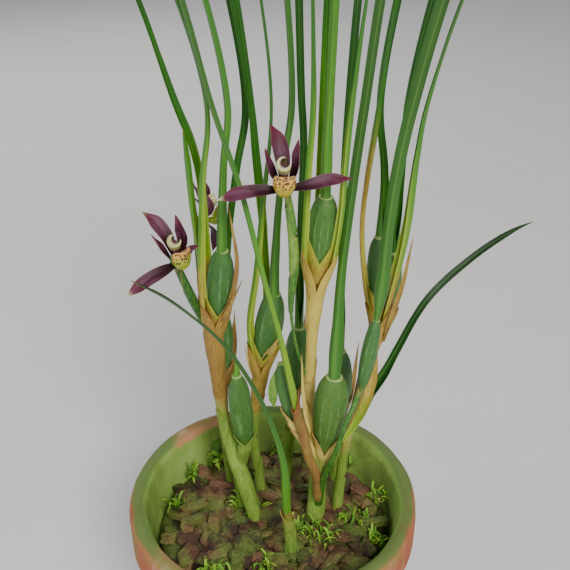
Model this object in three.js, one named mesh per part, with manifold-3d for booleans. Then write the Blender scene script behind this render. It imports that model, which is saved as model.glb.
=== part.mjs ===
// A coconut orchid, Maxillaria tenuifolia, growing in a clay pot filled with bark.
// Millimetres, +Z up. The pot stands on z = 0 with its axis on Z, and the orchid is seen from -Y.
import * as THREE from "three";
import { mergeVertices } from "three/addons/utils/BufferGeometryUtils.js";
import Module from "manifold-3d";

const wasm = await Module();
wasm.setup();

// Driving dimensions of the pot and its filling
const POT_HEIGHT = 118;
const RIM_RADIUS = 66;
const RIM_BAND_HEIGHT = 22;
const RIM_BAND_STEP = 4;
const FOOT_RADIUS = 43;
const POT_WALL = 7;
const POT_FLOOR = 8;
const DRAIN_RADIUS = 8;
const POT_SIDES = 32;
const MEDIUM_TOP = 101;
const CHIP_COUNT = 18;
const CHIP_LENGTH = [9, 15];
const CHIP_WIDTH = [6, 9];
const CHIP_DEPTH = 4;
const CHIP_TILT = 0.25;

// Driving dimensions of the orchid
const BLADE_THICKNESS = 0.7;
const PAPER_THICKNESS = 0.7;
const TIP_WIDTH = 0.9;
const SCALE_FLARE = 0.5;
const SCALE_STAND_OFF = 2.4;
const CLASP_WIDTH = 8;
const CLASP_TURN = 0.8;
const STEM_SIDES = 7;
const BULB_SIDES = 12;
const BULB_SHAPE = [0.38, 0.75, 0.93, 1, 1, 0.94, 0.78, 0.44];
const LEAF_WIDTH = 3.1;
const SHEATH_BLADE_WIDTH = 2.5;
const LEAF_STEP = 36;
const FAN_CENTRE = [18, 14.5];
const FAN_SPREAD = [0.35, 0.62];
const FAN_BEND = [1.5, 2.6];
const FAN_SHARES = [0.3, 0.6, 0.82, 1];
const FAN_DROOP = 0.1;

// The clearance that every node keeps to the pieces it touches
const GAP = 0.3;

const TOWARDS_VIEW = [0, -1, 0];

const COLOURS = {
  terracotta: 0xb0785c,
  bark: 0x5a4230,
  paper: 0xc49a68,
  bulb: 0x5d8450,
  leaf: 0x3f8a2e,
  sheath: 0x9dba4a,
  tepal: 0x5a1830,
  lip: 0xe0c05a,
  column: 0xe9e3a8,
  stalk: 0x6fa24a,
};

// Solids from closed rings of points

function solidOf(points, faces) {
  return new wasm.Manifold(new wasm.Mesh({
    numProp: 3,
    vertProperties: new Float32Array(points.flatMap((p) => [p.x, p.y, p.z])),
    triVerts: new Uint32Array(faces.flat()),
  }));
}

// Joins equal rings into one closed skin. closeEnd gives the faces that close a ring at either end.
function loft(rings, closeEnd) {
  const count = rings[0].length;
  const faces = closeEnd(count).map(([a, b, c]) => [a, c, b]);
  for (let ring = 0; ring + 1 < rings.length; ring += 1) {
    for (let i = 0; i < count; i += 1) {
      const a = ring * count + i;
      const b = ring * count + (i + 1) % count;
      faces.push([a, b, b + count], [a, b + count, a + count]);
    }
  }
  const last = (rings.length - 1) * count;
  closeEnd(count).forEach((face) => faces.push(face.map((i) => i + last)));
  return solidOf(rings.flat(), faces);
}

const closeRound = (count) => Array.from({ length: count - 2 }, (_, i) => [0, i + 1, i + 2]);

// A band's ring runs along its back and returns along its face, so its ends close as a strip.
function closeBand(count) {
  const faces = [];
  for (let i = 0; i < count / 2 - 1; i += 1) {
    const far = count - 1 - i;
    faces.push([i, i + 1, far - 1], [i, far - 1, far]);
  }
  return faces;
}

// Sweeps along smooth curves

const vector = (p) => new THREE.Vector3(...p);
const curveThrough = (line) => new THREE.CatmullRomCurve3(line.map(vector), false, "centripetal");

// Reads a list of values that lie evenly along a piece, at t from 0 to 1.
function along(values, t) {
  const place = t * (values.length - 1);
  const low = Math.min(Math.floor(place), values.length - 2);
  return THREE.MathUtils.lerp(values[low], values[low + 1], place - low);
}

const evenSteps = (steps) => Array.from({ length: steps + 1 }, (_, step) => step / steps);

// Walks a curve and gives, at each stop, its place and the directions across it and towards its face.
function walk(line, stops, faceAtFoot, faceAtTip, visit) {
  const curve = curveThrough(line);
  return stops.map((t) => {
    const place = curve.getPointAt(t);
    const onward = curve.getTangentAt(t);
    const face = vector(faceAtFoot).lerp(vector(faceAtTip), t);
    const across = face.cross(onward).normalize();
    const towards = onward.clone().cross(across);
    return visit(t, place, across, towards, onward);
  });
}

// A stalk or bulb: oval rings of the given half widths. narrow is its depth as a share of its width.
function stalk(
  {
    line, radius, sides = STEM_SIDES, steps = 6, narrow = 1, face = TOWARDS_VIEW,
    stops = evenSteps(steps), flare = () => 0,
  },
  clear = 0,
) {
  const rings = walk(line, stops, face, face, (t, place, across, towards, onward) => {
    const end = (t === 1 ? clear : 0) - (t === 0 ? clear : 0);
    const half = along(radius, t) + flare(t);
    return Array.from({ length: sides }, (_, i) => {
      const turn = 2 * Math.PI * i / sides;
      return place.clone()
        .addScaledVector(across, Math.cos(turn) * (half + clear))
        .addScaledVector(towards, Math.sin(turn) * (half * narrow + clear))
        .addScaledVector(onward, end);
    });
  });
  return loft(rings, closeRound);
}

// A blade, sheath or tepal: a thin band, curled towards its face by an angle given in degrees.
function band(
  { line, width, curl, face, faceAtTip = face, points = 3, steps = 10, thickness = BLADE_THICKNESS },
  clear = 0,
) {
  const rings = walk(line, evenSteps(steps), face, faceAtTip, (t, place, across, towards, onward) => {
    const end = (t === 1 ? clear : 0) - (t === 0 ? clear : 0);
    const angle = THREE.MathUtils.degToRad(along(curl, t));
    const bend = along(width, t) / angle;
    const reach = angle + 2 * clear / bend;
    const half = thickness / 2 + clear;
    const at = (i, radius) => {
      const turn = (i / (points - 1) - 0.5) * reach;
      return place.clone()
        .addScaledVector(across, Math.sin(turn) * radius)
        .addScaledVector(towards, bend - Math.cos(turn) * radius)
        .addScaledVector(onward, end);
    };
    const back = Array.from({ length: points }, (_, i) => at(i, bend + half));
    const front = Array.from({ length: points }, (_, i) => at(points - 1 - i, bend - half));
    return [...back, ...front];
  });
  return loft(rings, closeBand);
}

// A piece is kept twice: as it is, and swollen by GAP, which is what its neighbours are cut by.
const piece = (make, shape) => ({ solid: make(shape), swollen: make(shape, GAP) });

function fuse(pieces) {
  return {
    solid: wasm.Manifold.union(pieces.map((p) => p.solid)),
    swollen: wasm.Manifold.union(pieces.map((p) => p.swollen)),
  };
}

// Parts of the orchid

// Above its last chosen point a leaf leans away from the middle of the clump, more the higher it is.
// Every leaf follows this one rule, so the leaves spread without crossing.
function fanOut(line, rise) {
  const [x, y, z] = line.at(-1);
  const away = [x - FAN_CENTRE[0], y - FAN_CENTRE[1]];
  return line.concat(FAN_SHARES.map((share) => {
    const height = share * rise / 100;
    const grow = away.map((d, i) => d * (1 + FAN_SPREAD[i] * height + FAN_BEND[i] / 4 * height ** 2));
    const [outX, outY] = grow.map((d, i) => FAN_CENTRE[i] + d);
    return [outX, outY, z + rise * (share - FAN_DROOP * share ** 3)];
  }));
}

// The face of a leaning leaf turns up and back to the middle of the clump.
function faceOfTip(line) {
  const [x, y] = line.at(-1);
  const away = new THREE.Vector2(x - FAN_CENTRE[0], y - FAN_CENTRE[1]).normalize();
  return [-away.x * 0.7, -away.y * 0.7 - 0.3, 0.6];
}

function leafBlade({ line, width = LEAF_WIDTH, rise = 0, foot = 1.1 }) {
  const full = rise ? fanOut(line, rise) : line;
  return piece(band, {
    line: full,
    width: [width * foot, width, width, width * 0.95, width * 0.8, TIP_WIDTH],
    curl: [100, 80, 60, 50, 45, 40],
    face: TOWARDS_VIEW,
    faceAtTip: faceOfTip(full),
    steps: Math.round(curveThrough(full).getLength() / LEAF_STEP) + 1,
  });
}

// A leafy sheath clasps the shoot at its foot, where its hollow face turns partly to the bulb and partly
// to the view. Higher up it opens into a keeled blade.
function leafySheath({ line, bulb, width = SHEATH_BLADE_WIDTH, rise = 0 }) {
  const full = rise ? fanOut(line, rise) : line;
  const inward = vector(bulb.base).sub(vector(line[1])).setZ(0).normalize();
  const face = inward.addScaledVector(vector(TOWARDS_VIEW), CLASP_TURN).toArray();
  return piece(band, {
    line: full,
    width: [
      CLASP_WIDTH, CLASP_WIDTH * 0.75, width * 1.4, width * 1.1, width, width, width, width * 0.95,
      width * 0.85, width * 0.7, TIP_WIDTH,
    ],
    curl: [160, 130, 90, 70, 60, 50, 45, 40, 40, 40, 40],
    face,
    faceAtTip: faceOfTip(full),
    steps: Math.round(curveThrough(full).getLength() / LEAF_STEP) + 2,
  });
}

// A dry papery sheath with a loose pointed tip
function paperSheath({ line, width = 6 }) {
  return piece(band, {
    line,
    width: [width, width * 0.9, width * 0.6, TIP_WIDTH],
    curl: [110, 88, 66, 40],
    face: TOWARDS_VIEW,
    steps: 4,
    thickness: PAPER_THICKNESS,
  });
}

// A pseudobulb: an ovoid a little flattened, with a narrow neck below and a scar ring on top
function bulbBody({ base, top, width, narrow = 0.75 }) {
  return piece(stalk, {
    line: [base, top],
    radius: BULB_SHAPE.map((share) => share * width / 2),
    sides: BULB_SIDES,
    steps: BULB_SHAPE.length - 1,
    narrow,
  });
}

// The loose point of a scale that wraps a stem. It lies on the stem, and stands off it at its tip.
function scaleTip(stem, start, length, side) {
  const curve = curveThrough(stem.line);
  const turn = THREE.MathUtils.degToRad(side);
  const out = vector([Math.cos(turn), Math.sin(turn), 0]);
  const radius = along(stem.radius, start);
  const line = [0, 0.5, 1].map((share) => {
    const t = Math.min(start + share * length / curve.getLength(), 1);
    return curve.getPointAt(t).addScaledVector(out, radius + SCALE_STAND_OFF * share ** 2).toArray();
  });
  return piece(band, {
    line,
    width: [radius * 2.2, radius * 1.7, TIP_WIDTH],
    curl: [120, 90, 40],
    face: out.clone().negate().toArray(),
    steps: 2,
    thickness: PAPER_THICKNESS,
  });
}

// A stem clothed in scales, one to an internode. Each scale widens upwards and ends in a loose point.
function clothedStem({ scales = 1, side = 0, ...stem }) {
  const nodes = Array.from({ length: scales }, (_, i) => (i + 1) / scales);
  const middles = nodes.map((t) => t - 0.38 / scales);
  const steps = nodes.slice(0, -1).flatMap((t) => [t - 0.01, t]);
  const stops = [0, ...middles, ...steps, 1].sort((a, b) => a - b);
  const flare = (t) => (t < 1 ? SCALE_FLARE * ((t * scales) % 1) : 0);
  const length = curveThrough(stem.line).getLength() / scales;
  const tips = nodes.slice(0, -1).map((t, i) => (
    scaleTip(stem, t - 0.35 / scales, 0.75 * length, side + 180 * (i % 2) + 25 * i)));
  return [piece(stalk, { ...stem, stops, flare }), ...tips];
}

const rhizome = ({ stems, sheaths = [] }) => (
  fuse([...stems.flatMap(clothedStem), ...sheaths.map(paperSheath)]));

// A flower: tepals fused in one body, and a lip and a column seated in front of them.
// Its own frame has x across it, y up along the dorsal sepal and z out of its face.
function flower({ centre, facing, up, rightTip = [24.5, 1.2, -1.5] }) {
  const z = vector(facing).normalize();
  const x = vector(up).cross(z).normalize();
  const y = z.clone().cross(x);
  const place = ([a, b, c]) => vector(centre)
    .addScaledVector(x, a).addScaledVector(y, b).addScaledVector(z, c).toArray();
  const turned = ([a, b, c]) => new THREE.Vector3()
    .addScaledVector(x, a).addScaledVector(y, b).addScaledVector(z, c).toArray();
  const tepal = ({ line, width, face }) => piece(band, {
    line: line.map(place),
    width: [width * 0.55, width, width * 0.95, width * 0.6, TIP_WIDTH],
    curl: [70, 60, 55, 50, 40],
    face: turned(face),
    points: 4,
    steps: 4,
  });
  const throat = piece(stalk, {
    line: [[0, -2.5, -4], [0, -2, -1.5], [0, -1.5, 1]].map(place),
    radius: [1.6, 2.6, 3],
    face: turned([0, 1, 0]),
    sides: 6,
    steps: 2,
  });
  const [x1, y1, z1] = rightTip;
  const dorsal = {
    line: [[-0.5, 0.5, 0], [-1, 9, 1], [-2.2, 16, 0.5], [-4.6, 22, -1]],
    width: 6.4,
    face: [0.15, 0, 1],
  };
  const laterals = [
    [[1.5, -2.6, 0], [x1 / 3, -1.6, 1.5], [x1 * 0.66, y1 * 0.4, 1 + z1 * 0.3], rightTip],
    [[-1.5, -3, 0], [-8, -3.4, 1.5], [-16, -4.4, 1], [-23.5, -6.4, -1.5]],
  ].map((line) => ({ line, width: 5.6, face: [0, 0.5, 1] }));
  const petals = [1, -1].map((hand) => ({
    line: [[hand * 2.4, 0, 0], [hand * 4.2, 5, 3.5], [hand * 4.2, 10, 5], [hand * 4.8, 14.4, 4.5]],
    width: 5,
    face: [-hand, 0, 0.7],
  }));
  const tepals = fuse([throat, ...[dorsal, ...laterals, ...petals].map(tepal)]);
  const lip = piece(band, {
    line: [
      [0, -3.4, 1.6], [0, -5.2, 4], [0, -3.6, 6.6], [0, -0.4, 8.2], [0, 1.8, 9.6], [0, 1.2, 11.4],
    ].map(place),
    width: [3.6, 8, 9.6, 8.6, 7, 4],
    curl: [110, 150, 150, 120, 90, 60],
    face: turned([0, 1, -0.2]),
    points: 5,
    steps: 6,
    thickness: 0.9,
  });
  const column = piece(stalk, {
    line: [[0, 0.6, 1.5], [-0.3, 3.2, 3.6], [-0.4, 4.8, 6], [-0.4, 4.8, 8]].map(place),
    radius: [1.2, 1.4, 1.9, 1.5],
    face: turned([0, 1, 0]),
    sides: 7,
    steps: 3,
  });
  return { tepals, lip, column };
}

// A flower stalk clothed in bracts
const scape = ({ line, radius = [1.6, 1.7, 1.6, 1.3], bracts = 3, side = 150 }) => (
  fuse(clothedStem({ line, radius, scales: bracts, side, sides: 6 })));

// Where everything grows. Lines run from the foot to the tip.
const rhizomes = {
  left: {
    stems: [
      {
        line: [
          [-14, 10, 88], [-15, 9.5, 112], [-19.5, 9, 134], [-22, 7, 155], [-23.5, 4, 186],
          [-24.5, 3, 203],
        ],
        radius: [3.2, 3, 2.8, 2.9, 3.3, 3.7],
        scales: 3,
        side: 200,
      },
      { line: [[-16, 10, 120], [-14, 6, 133], [-12.5, 2, 142]], radius: [2.6, 2.8, 2.9] },
    ],
    sheaths: [
      {
        line: [[-22.6, 1.2, 196], [-17, -4, 215], [-13.5, -4, 232], [-13, -3, 246], [-16, -4, 264]],
        width: 3,
      },
      {
        line: [[-22.4, 1.5, 192], [-17.5, -4, 205], [-12, -6.5, 220], [-10.5, -7.5, 233]],
        width: 3.2,
      },
    ],
  },
  inner: {
    stems: [
      {
        line: [[-5, 20, 88], [-7, 18, 112], [-9, 14, 138], [-6.5, 11, 166], [-5, 9.5, 177]],
        radius: [2.8, 2.7, 2.5, 2.6, 3.2],
        scales: 3,
        side: 160,
      },
    ],
    sheaths: [
      { line: [[-7.5, 9.5, 164], [-13, 5, 179], [-14.5, 4, 191]], width: 5 },
      { line: [[-5.2, 9.4, 164], [0.5, 3.5, 178], [4.5, -1, 192]], width: 6 },
    ],
  },
  middle: {
    stems: [
      {
        line: [
          [19, 2, 88], [20.5, 1, 112], [20, 1, 132], [18.5, 2, 150], [16.5, 2, 170], [16.5, 1, 190],
          [17, 0, 207], [17.8, -1, 224],
        ],
        radius: [4.2, 4.6, 3.6, 2.4, 2.2, 2.6, 3, 3.2],
        scales: 3,
        side: 185,
      },
      {
        line: [[20, -1, 120], [19, -8, 141], [14, -10.5, 156], [9.5, -11, 166]],
        radius: [3, 2.8, 2.4, 2.4],
        scales: 2,
        side: 200,
      },
      { line: [[20.5, -1, 124], [21.5, -6, 137], [22.3, -9, 146.5]], radius: [3.4, 3.2, 3] },
      {
        line: [[21, -2, 112], [23, -11, 136], [27, -18, 156], [31.5, -19, 174], [36, -15, 184]],
        radius: [2.6, 2.2, 1.9, 1.8, 1.9],
      },
    ],
    sheaths: [
      { line: [[18.5, -3, 138], [15, -6, 158], [12.5, -6, 178], [12.5, -5, 196]], width: 5 },
      { line: [[16.8, -1, 212], [13, -5, 227], [11.5, -7.5, 248]], width: 5 },
      {
        line: [[26, -17, 150], [33, -15, 160], [39.5, -13, 173], [43.5, -12, 190], [43, -12, 203]],
        width: 6.5,
      },
    ],
  },
  right: {
    stems: [
      {
        line: [
          [30, 8, 88], [32, 7, 116], [35, 5, 146], [41, 4.5, 168], [43.5, 5, 186], [44.5, 6, 203],
        ],
        radius: [3, 2.8, 2.6, 2.5, 2.8, 3.2],
        scales: 3,
        side: 20,
      },
      { line: [[40, 5, 164], [46, 11, 182], [48, 13, 198]], radius: [2, 2.2, 2.6] },
    ],
    sheaths: [{ line: [[47, 4, 196], [52, -1, 214], [55.5, -3, 232], [56.5, -5, 248]], width: 4 }],
  },
  front: {
    stems: [
      {
        line: [[9, -20, 88], [8, -21.5, 112], [6.5, -23.5, 128]],
        radius: [2.8, 2.6, 2.4],
        scales: 3,
        side: -60,
        steps: 4,
      },
    ],
  },
  back_left: {
    stems: [
      {
        line: [[-20, 27, 88], [-22, 26, 118], [-24, 24, 150], [-24, 22, 164]],
        radius: [2.8, 2.6, 2.6, 3],
        scales: 3,
        side: 90,
      },
    ],
    sheaths: [{ line: [[-22.5, 24, 156], [-18.5, 29, 176], [-17, 32, 196]], width: 6 }],
  },
  back_middle: {
    stems: [
      {
        line: [[6, 32, 88], [7, 33, 112], [9, 32, 140], [10, 30, 152]],
        radius: [2.8, 2.6, 2.6, 3],
        scales: 3,
        side: 60,
      },
    ],
    sheaths: [{ line: [[11, 33, 146], [14, 38, 166], [15, 41, 190]], width: 6 }],
  },
  back_right: {
    stems: [
      {
        line: [[30, 28, 88], [31, 28, 110], [32, 27, 130], [32, 26, 142]],
        radius: [2.8, 2.6, 2.6, 3],
        scales: 3,
        side: 120,
      },
    ],
    sheaths: [{ line: [[34, 29, 136], [38, 34, 156], [40, 37, 176]], width: 6 }],
  },
};

// Each shoot: a pseudobulb with its leaf, and the leafy sheaths that clasp its foot
const shoots = {
  upper_left: {
    bulb: { base: [-22.4, 2, 209], top: [-19, 0, 244], width: 10.4 },
    leaf: {
      line: [[-19.2, 0.1, 242], [-18.5, 0, 263], [-17.5, 1, 280], [-15.5, 4, 301]],
      width: 3,
      rise: 205,
    },
    plug: [[-24.2, 2.9, 203.6], [-22.6, 2.1, 208.4]],
    sheaths: [
      {
        line: [
          [-25, 1, 204], [-28.5, -3.5, 228], [-27, -5, 255], [-25.5, -6, 276], [-22.5, -6, 304],
        ],
        rise: 190,
      },
      { line: [[-26, 4, 204], [-29, 3.5, 237], [-31, 3, 262], [-32, 1.5, 293]], width: 2.4 },
      {
        line: [[-24.5, 5, 204], [-27, 9.5, 240], [-28, 9, 270], [-30.5, 8.5, 285], [-35, 7, 300]],
        width: 2.6,
        rise: 163,
      },
    ],
  },
  lower_left: {
    bulb: { base: [-12, 1.5, 143], top: [-15, -1, 184.5], width: 9.6 },
    leaf: { line: [[-15, -1, 182.5], [-15, -1, 189], [-15, -1, 196]], width: 2.4 },
  },
  inner: {
    bulb: { base: [-4.6, 8.5, 182.5], top: [1.5, 6, 221], width: 11.2 },
    leaf: {
      line: [[1.4, 6, 219], [1.5, 6, 235], [3, 6, 260], [5, 7, 278], [8, 11, 298]],
      width: 3,
      rise: 190,
    },
    plug: [[-5, 9.4, 177.6], [-4.6, 8.7, 181.9]],
    sheaths: [
      {
        line: [[-6, 7, 178], [-10, 4, 205], [-6.5, 1, 233], [-3.5, 1.5, 262], [0.5, 3, 301]],
        rise: 200,
      },
      {
        line: [[-3, 11.5, 178], [-1.5, 16, 205], [-3, 19, 240], [-6, 21, 275], [-8, 22, 300]],
        width: 2.8,
        rise: 170,
      },
    ],
  },
  behind_blade: {
    bulb: { base: [9.2, -10.9, 166.4], top: [4, -8, 195.5], width: 7.4 },
  },
  blade: {
    leaf: {
      line: [
        [15.2, -13, 151], [13.6, -15.2, 163], [10, -16.5, 178], [4, -16.5, 211], [-2, -16, 237],
        [-10.5, -14, 275], [-19.5, -14, 306],
      ],
      width: 2.5,
      rise: 170,
      foot: 1.6,
    },
  },
  centre: {
    bulb: { base: [18.3, -1.8, 230.5], top: [21, -4, 269], width: 10.4 },
    leaf: {
      line: [[20.9, -4, 267], [21, -4, 277], [21, -3, 290], [21.5, -1, 303]],
      width: 3.3,
      rise: 215,
    },
    plug: [[17.9, -1.1, 224.6], [18.2, -1.7, 230]],
    sheaths: [
      {
        line: [
          [16.2, -2.5, 226], [12.4, -5.5, 241], [12.8, -8, 262], [13.5, -8.5, 280], [15, -7, 304],
        ],
        rise: 185,
      },
      {
        line: [
          [19.8, -2.5, 226], [24.8, -5.5, 241], [27.2, -9.5, 263], [28, -11, 281], [29.5, -11, 306],
        ],
        rise: 180,
      },
      {
        line: [[18.5, 0.5, 226], [19, 5.5, 240], [19.5, 9, 265], [20, 13, 290], [20.5, 17, 304]],
        width: 2.6,
        rise: 170,
      },
    ],
  },
  low_middle: {
    bulb: { base: [22.4, -9.8, 147.4], top: [26, -12, 192], width: 14.2 },
    leaf: {
      line: [
        [25.9, -11.9, 190], [26.4, -11, 208], [27.5, -6, 233], [30.2, -2, 262], [34.5, 2, 301],
      ],
      width: 3.7,
      rise: 200,
      foot: 1.4,
    },
  },
  right_front: {
    bulb: { base: [36.8, -14.2, 185.5], top: [42, -11, 218.5], width: 6, narrow: 1.5 },
    leaf: {
      line: [
        [41.8, -11, 216.5], [43.5, -11, 236], [44, -10.5, 252], [46, -9, 276], [50.5, -7, 304],
      ],
      width: 4.6,
      rise: 195,
    },
  },
  right: {
    bulb: { base: [44.4, 6.2, 209], top: [43, 4, 248], width: 9.4 },
    leaf: {
      line: [[43.1, 4.1, 246], [44, 5.5, 262], [43.5, 9, 276], [41.5, 15, 298]],
      width: 3,
      rise: 185,
    },
    plug: [[44.5, 6, 203.6], [44.4, 6.2, 208.4]],
    sheaths: [
      {
        line: [[43, 5, 204], [37.6, 2, 226], [35, 0, 251], [36, 1, 272], [39.5, 4, 301]],
        width: 2.4,
        rise: 150,
      },
      {
        line: [[46, 4, 204], [50, 0, 226], [53.5, -3, 255], [54.5, -5, 284], [56, -7, 304]],
        rise: 150,
      },
    ],
  },
  right_behind: {
    bulb: { base: [48.2, 13.2, 198.6], top: [50.5, 13, 236], width: 9 },
    leaf: {
      line: [[50.4, 13, 234], [51, 15, 256], [52, 18, 278], [53, 22, 296]],
      width: 2.8,
      rise: 165,
    },
  },
  back_left: {
    bulb: { base: [-24, 21.8, 164.6], top: [-22, 22, 202], width: 10, narrow: 0.7 },
    leaf: {
      line: [[-22, 22, 200], [-18, 24, 240], [-14, 26, 267], [-10, 30, 292]],
      width: 3.2,
      rise: 180,
    },
  },
  back_middle: {
    bulb: { base: [10.2, 29.6, 152.6], top: [12, 28, 190], width: 11 },
    leaf: {
      line: [[12, 28, 188], [12, 27, 235], [13, 28, 279], [12, 31, 296]],
      width: 3.2,
      rise: 190,
    },
  },
  back_right: {
    bulb: { base: [32, 25.8, 142.6], top: [31, 27, 178], width: 10 },
    leaf: {
      line: [[31, 27, 176], [30, 29, 220], [30, 31, 260], [31, 34, 290]],
      width: 3.2,
      rise: 180,
    },
  },
};

// Two long single blades: one arches down to the left in front, one away to the right behind.
const singleBlades = {
  front_blade: {
    line: [
      [6.5, -23.6, 128.6], [5, -26, 154], [0, -28, 179], [-9, -32, 205], [-19.5, -36, 226],
      [-35.5, -42, 246], [-47.5, -46, 256],
    ],
    width: 2.9,
  },
  right_blade: {
    line: [
      [40.5, 8, 158], [44, 10, 166], [49, 12, 175], [55, 16, 186], [68, 25, 206], [89, 38, 220],
      [108, 48, 228], [118, 53, 230],
    ],
    width: 3.3,
  },
};

const flowers = {
  centre: {
    bloom: { centre: [5.2, -20, 281], facing: [0.04, -0.9, 0.45], up: [0, 0.4, 1] },
    scape: {
      line: [
        [14, -2.5, 186], [10.5, -5, 200], [8, -7.5, 220], [9, -11, 243], [8, -14, 262],
        [6, -17, 276],
      ],
    },
  },
  left: {
    bloom: {
      centre: [-36, -12, 247],
      facing: [0.42, -0.75, 0.5],
      up: [-0.36, 0.3, 0.88],
      rightTip: [13, 9, 6],
    },
    scape: {
      line: [
        [-26.4, 1.6, 188], [-29, -3, 204], [-31, -7, 217], [-33.5, -9.5, 230], [-36, -11, 242],
      ],
    },
  },
  far: {
    bloom: { centre: [-30, 38, 240], facing: [0.95, 0.25, 0.25], up: [-0.3, 0, 1] },
    scape: { line: [[-26.5, 27, 152], [-29, 30, 180], [-32, 34, 208], [-33.5, 37, 236]] },
  },
};

// The pot is a turned wall with a banded rim and a drain hole. Its profile closes on itself.
function potBody() {
  const bandFoot = POT_HEIGHT - RIM_BAND_HEIGHT;
  const shoulder = RIM_RADIUS - RIM_BAND_STEP;
  const inside = RIM_RADIUS - POT_WALL - 1;
  const profile = [
    [DRAIN_RADIUS, 0], [FOOT_RADIUS - 1.5, 0], [FOOT_RADIUS, 1.5], [shoulder, bandFoot],
    [RIM_RADIUS - 1, bandFoot], [RIM_RADIUS, bandFoot + 2], [RIM_RADIUS, POT_HEIGHT - 3.5],
    [RIM_RADIUS - 1.4, POT_HEIGHT - 0.8], [RIM_RADIUS - 4, POT_HEIGHT],
    [RIM_RADIUS - 6.8, POT_HEIGHT - 1], [inside, POT_HEIGHT - 4], [inside - 2, bandFoot],
    [FOOT_RADIUS - POT_WALL, POT_FLOOR], [DRAIN_RADIUS, POT_FLOOR],
  ];
  return latheClosed(profile);
}

// Turns a closed profile of radius and height round Z.
function latheClosed(profile) {
  const rings = profile.map(([radius, height]) => Array.from({ length: POT_SIDES }, (_, i) => {
    const turn = 2 * Math.PI * i / POT_SIDES;
    return new THREE.Vector3(Math.cos(turn) * radius, Math.sin(turn) * radius, height);
  }));
  const faces = [];
  rings.forEach((_, ring) => {
    const next = (ring + 1) % rings.length;
    for (let i = 0; i < POT_SIDES; i += 1) {
      const j = (i + 1) % POT_SIDES;
      const [a, b] = [ring * POT_SIDES + i, ring * POT_SIDES + j];
      const [c, d] = [next * POT_SIDES + j, next * POT_SIDES + i];
      faces.push([a, b, c], [a, c, d]);
    }
  });
  return solidOf(rings.flat(), faces);
}

// A repeatable draw between 0 and 1
function drawFrom(seed) {
  let state = seed;
  return () => {
    state = (state * 1664525 + 1013904223) % 4294967296;
    return state / 4294967296;
  };
}

// The turn from each chip to the next, which spreads any number of them evenly
const GOLDEN_ANGLE = Math.PI * (3 - Math.sqrt(5));

// Bark that fills the pot, with chips lying on it. The plant's stems stand in holes in it.
function mediumBody() {
  const draw = drawFrom(7);
  const inside = RIM_RADIUS - POT_WALL - 3 - GAP;
  const fill = stalk({
    line: [[0, 0, POT_FLOOR + GAP], [0, 0, MEDIUM_TOP - 3]],
    radius: [FOOT_RADIUS - POT_WALL - GAP - 0.2, inside - 2.2],
    sides: POT_SIDES,
    steps: 1,
  });
  const chips = Array.from({ length: CHIP_COUNT }, (_, i) => {
    const out = (inside - 9) * Math.sqrt((i + 0.5) / CHIP_COUNT);
    const turn = i * GOLDEN_ANGLE;
    const height = MEDIUM_TOP - 2.5 + 2 * draw();
    const between = (low, high) => THREE.MathUtils.lerp(low, high, draw());
    const shape = new THREE.BoxGeometry(between(...CHIP_LENGTH), between(...CHIP_WIDTH), CHIP_DEPTH);
    shape.rotateX(between(-CHIP_TILT, CHIP_TILT));
    shape.rotateY(between(-CHIP_TILT, CHIP_TILT));
    shape.rotateZ(between(0, Math.PI));
    shape.translate(Math.cos(turn) * out, Math.sin(turn) * out, height);
    return solidOfGeometry(shape);
  });
  return wasm.Manifold.union([fill, ...chips]);
}

// A geometry as a solid: vertices that share a place become one
function solidOfGeometry(geometry) {
  geometry.deleteAttribute("normal");
  geometry.deleteAttribute("uv");
  const merged = mergeVertices(geometry);
  return new wasm.Manifold(new wasm.Mesh({
    numProp: 3,
    vertProperties: merged.attributes.position.array,
    triVerts: new Uint32Array(merged.index.array),
  }));
}

// Every node, those that keep their whole shape first. Each is cut clear of all that stand before it.
const nodes = [];
const add = (name, colour, roughness, shape) => nodes.push({ name, colour, roughness, ...shape });

for (const [name, { bulb, leaf }] of Object.entries(shoots)) {
  const pieces = [];
  if (bulb) pieces.push(bulbBody(bulb));
  if (leaf) pieces.push(leafBlade(leaf));
  add(bulb ? `bulb_${name}` : `leaf_${name}`, bulb ? COLOURS.bulb : COLOURS.leaf, 0.5, fuse(pieces));
}
for (const [name, { bulb, plug, sheaths }] of Object.entries(shoots)) {
  if (!sheaths) continue;
  const foot = piece(stalk, { line: plug, radius: [3.5, 3.3], sides: 10, steps: 1 });
  const blades = sheaths.map((sheath) => leafySheath({ bulb, ...sheath }));
  add(`sheaths_${name}`, COLOURS.sheath, 0.5, fuse([foot, ...blades]));
}
for (const [name, blade] of Object.entries(singleBlades)) {
  add(name, COLOURS.leaf, 0.45, leafBlade({ foot: 1.3, ...blade }));
}
for (const [name, { bloom, scape: line }] of Object.entries(flowers)) {
  const { tepals, lip, column } = flower(bloom);
  add(`column_${name}`, COLOURS.column, 0.4, column);
  add(`lip_${name}`, COLOURS.lip, 0.45, lip);
  add(`tepals_${name}`, COLOURS.tepal, 0.5, tepals);
  add(`stalk_${name}`, COLOURS.stalk, 0.5, scape(line));
}
for (const [name, shape] of Object.entries(rhizomes)) {
  add(`rhizome_${name}`, COLOURS.paper, 0.75, rhizome(shape));
}
add("pot", COLOURS.terracotta, 0.85, { solid: potBody() });
add("bark_medium", COLOURS.bark, 0.95, { solid: mediumBody() });

function boxesMeet(a, b) {
  const [p, q] = [a.boundingBox(), b.boundingBox()];
  return p.min.every((low, i) => low < q.max[i]) && q.min.every((low, i) => low < p.max[i]);
}

// Cuts a node clear of the nodes before it, and drops any scrap that the cut leaves loose.
function cutClear(node, before) {
  const close = before.filter((other) => other.swollen && boxesMeet(node.solid, other.swollen));
  if (close.length === 0) return node.solid;
  const cut = node.solid.subtract(wasm.Manifold.union(close.map((other) => other.swollen)));
  return cut.decompose().sort((a, b) => b.volume() - a.volume())[0];
}

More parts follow.
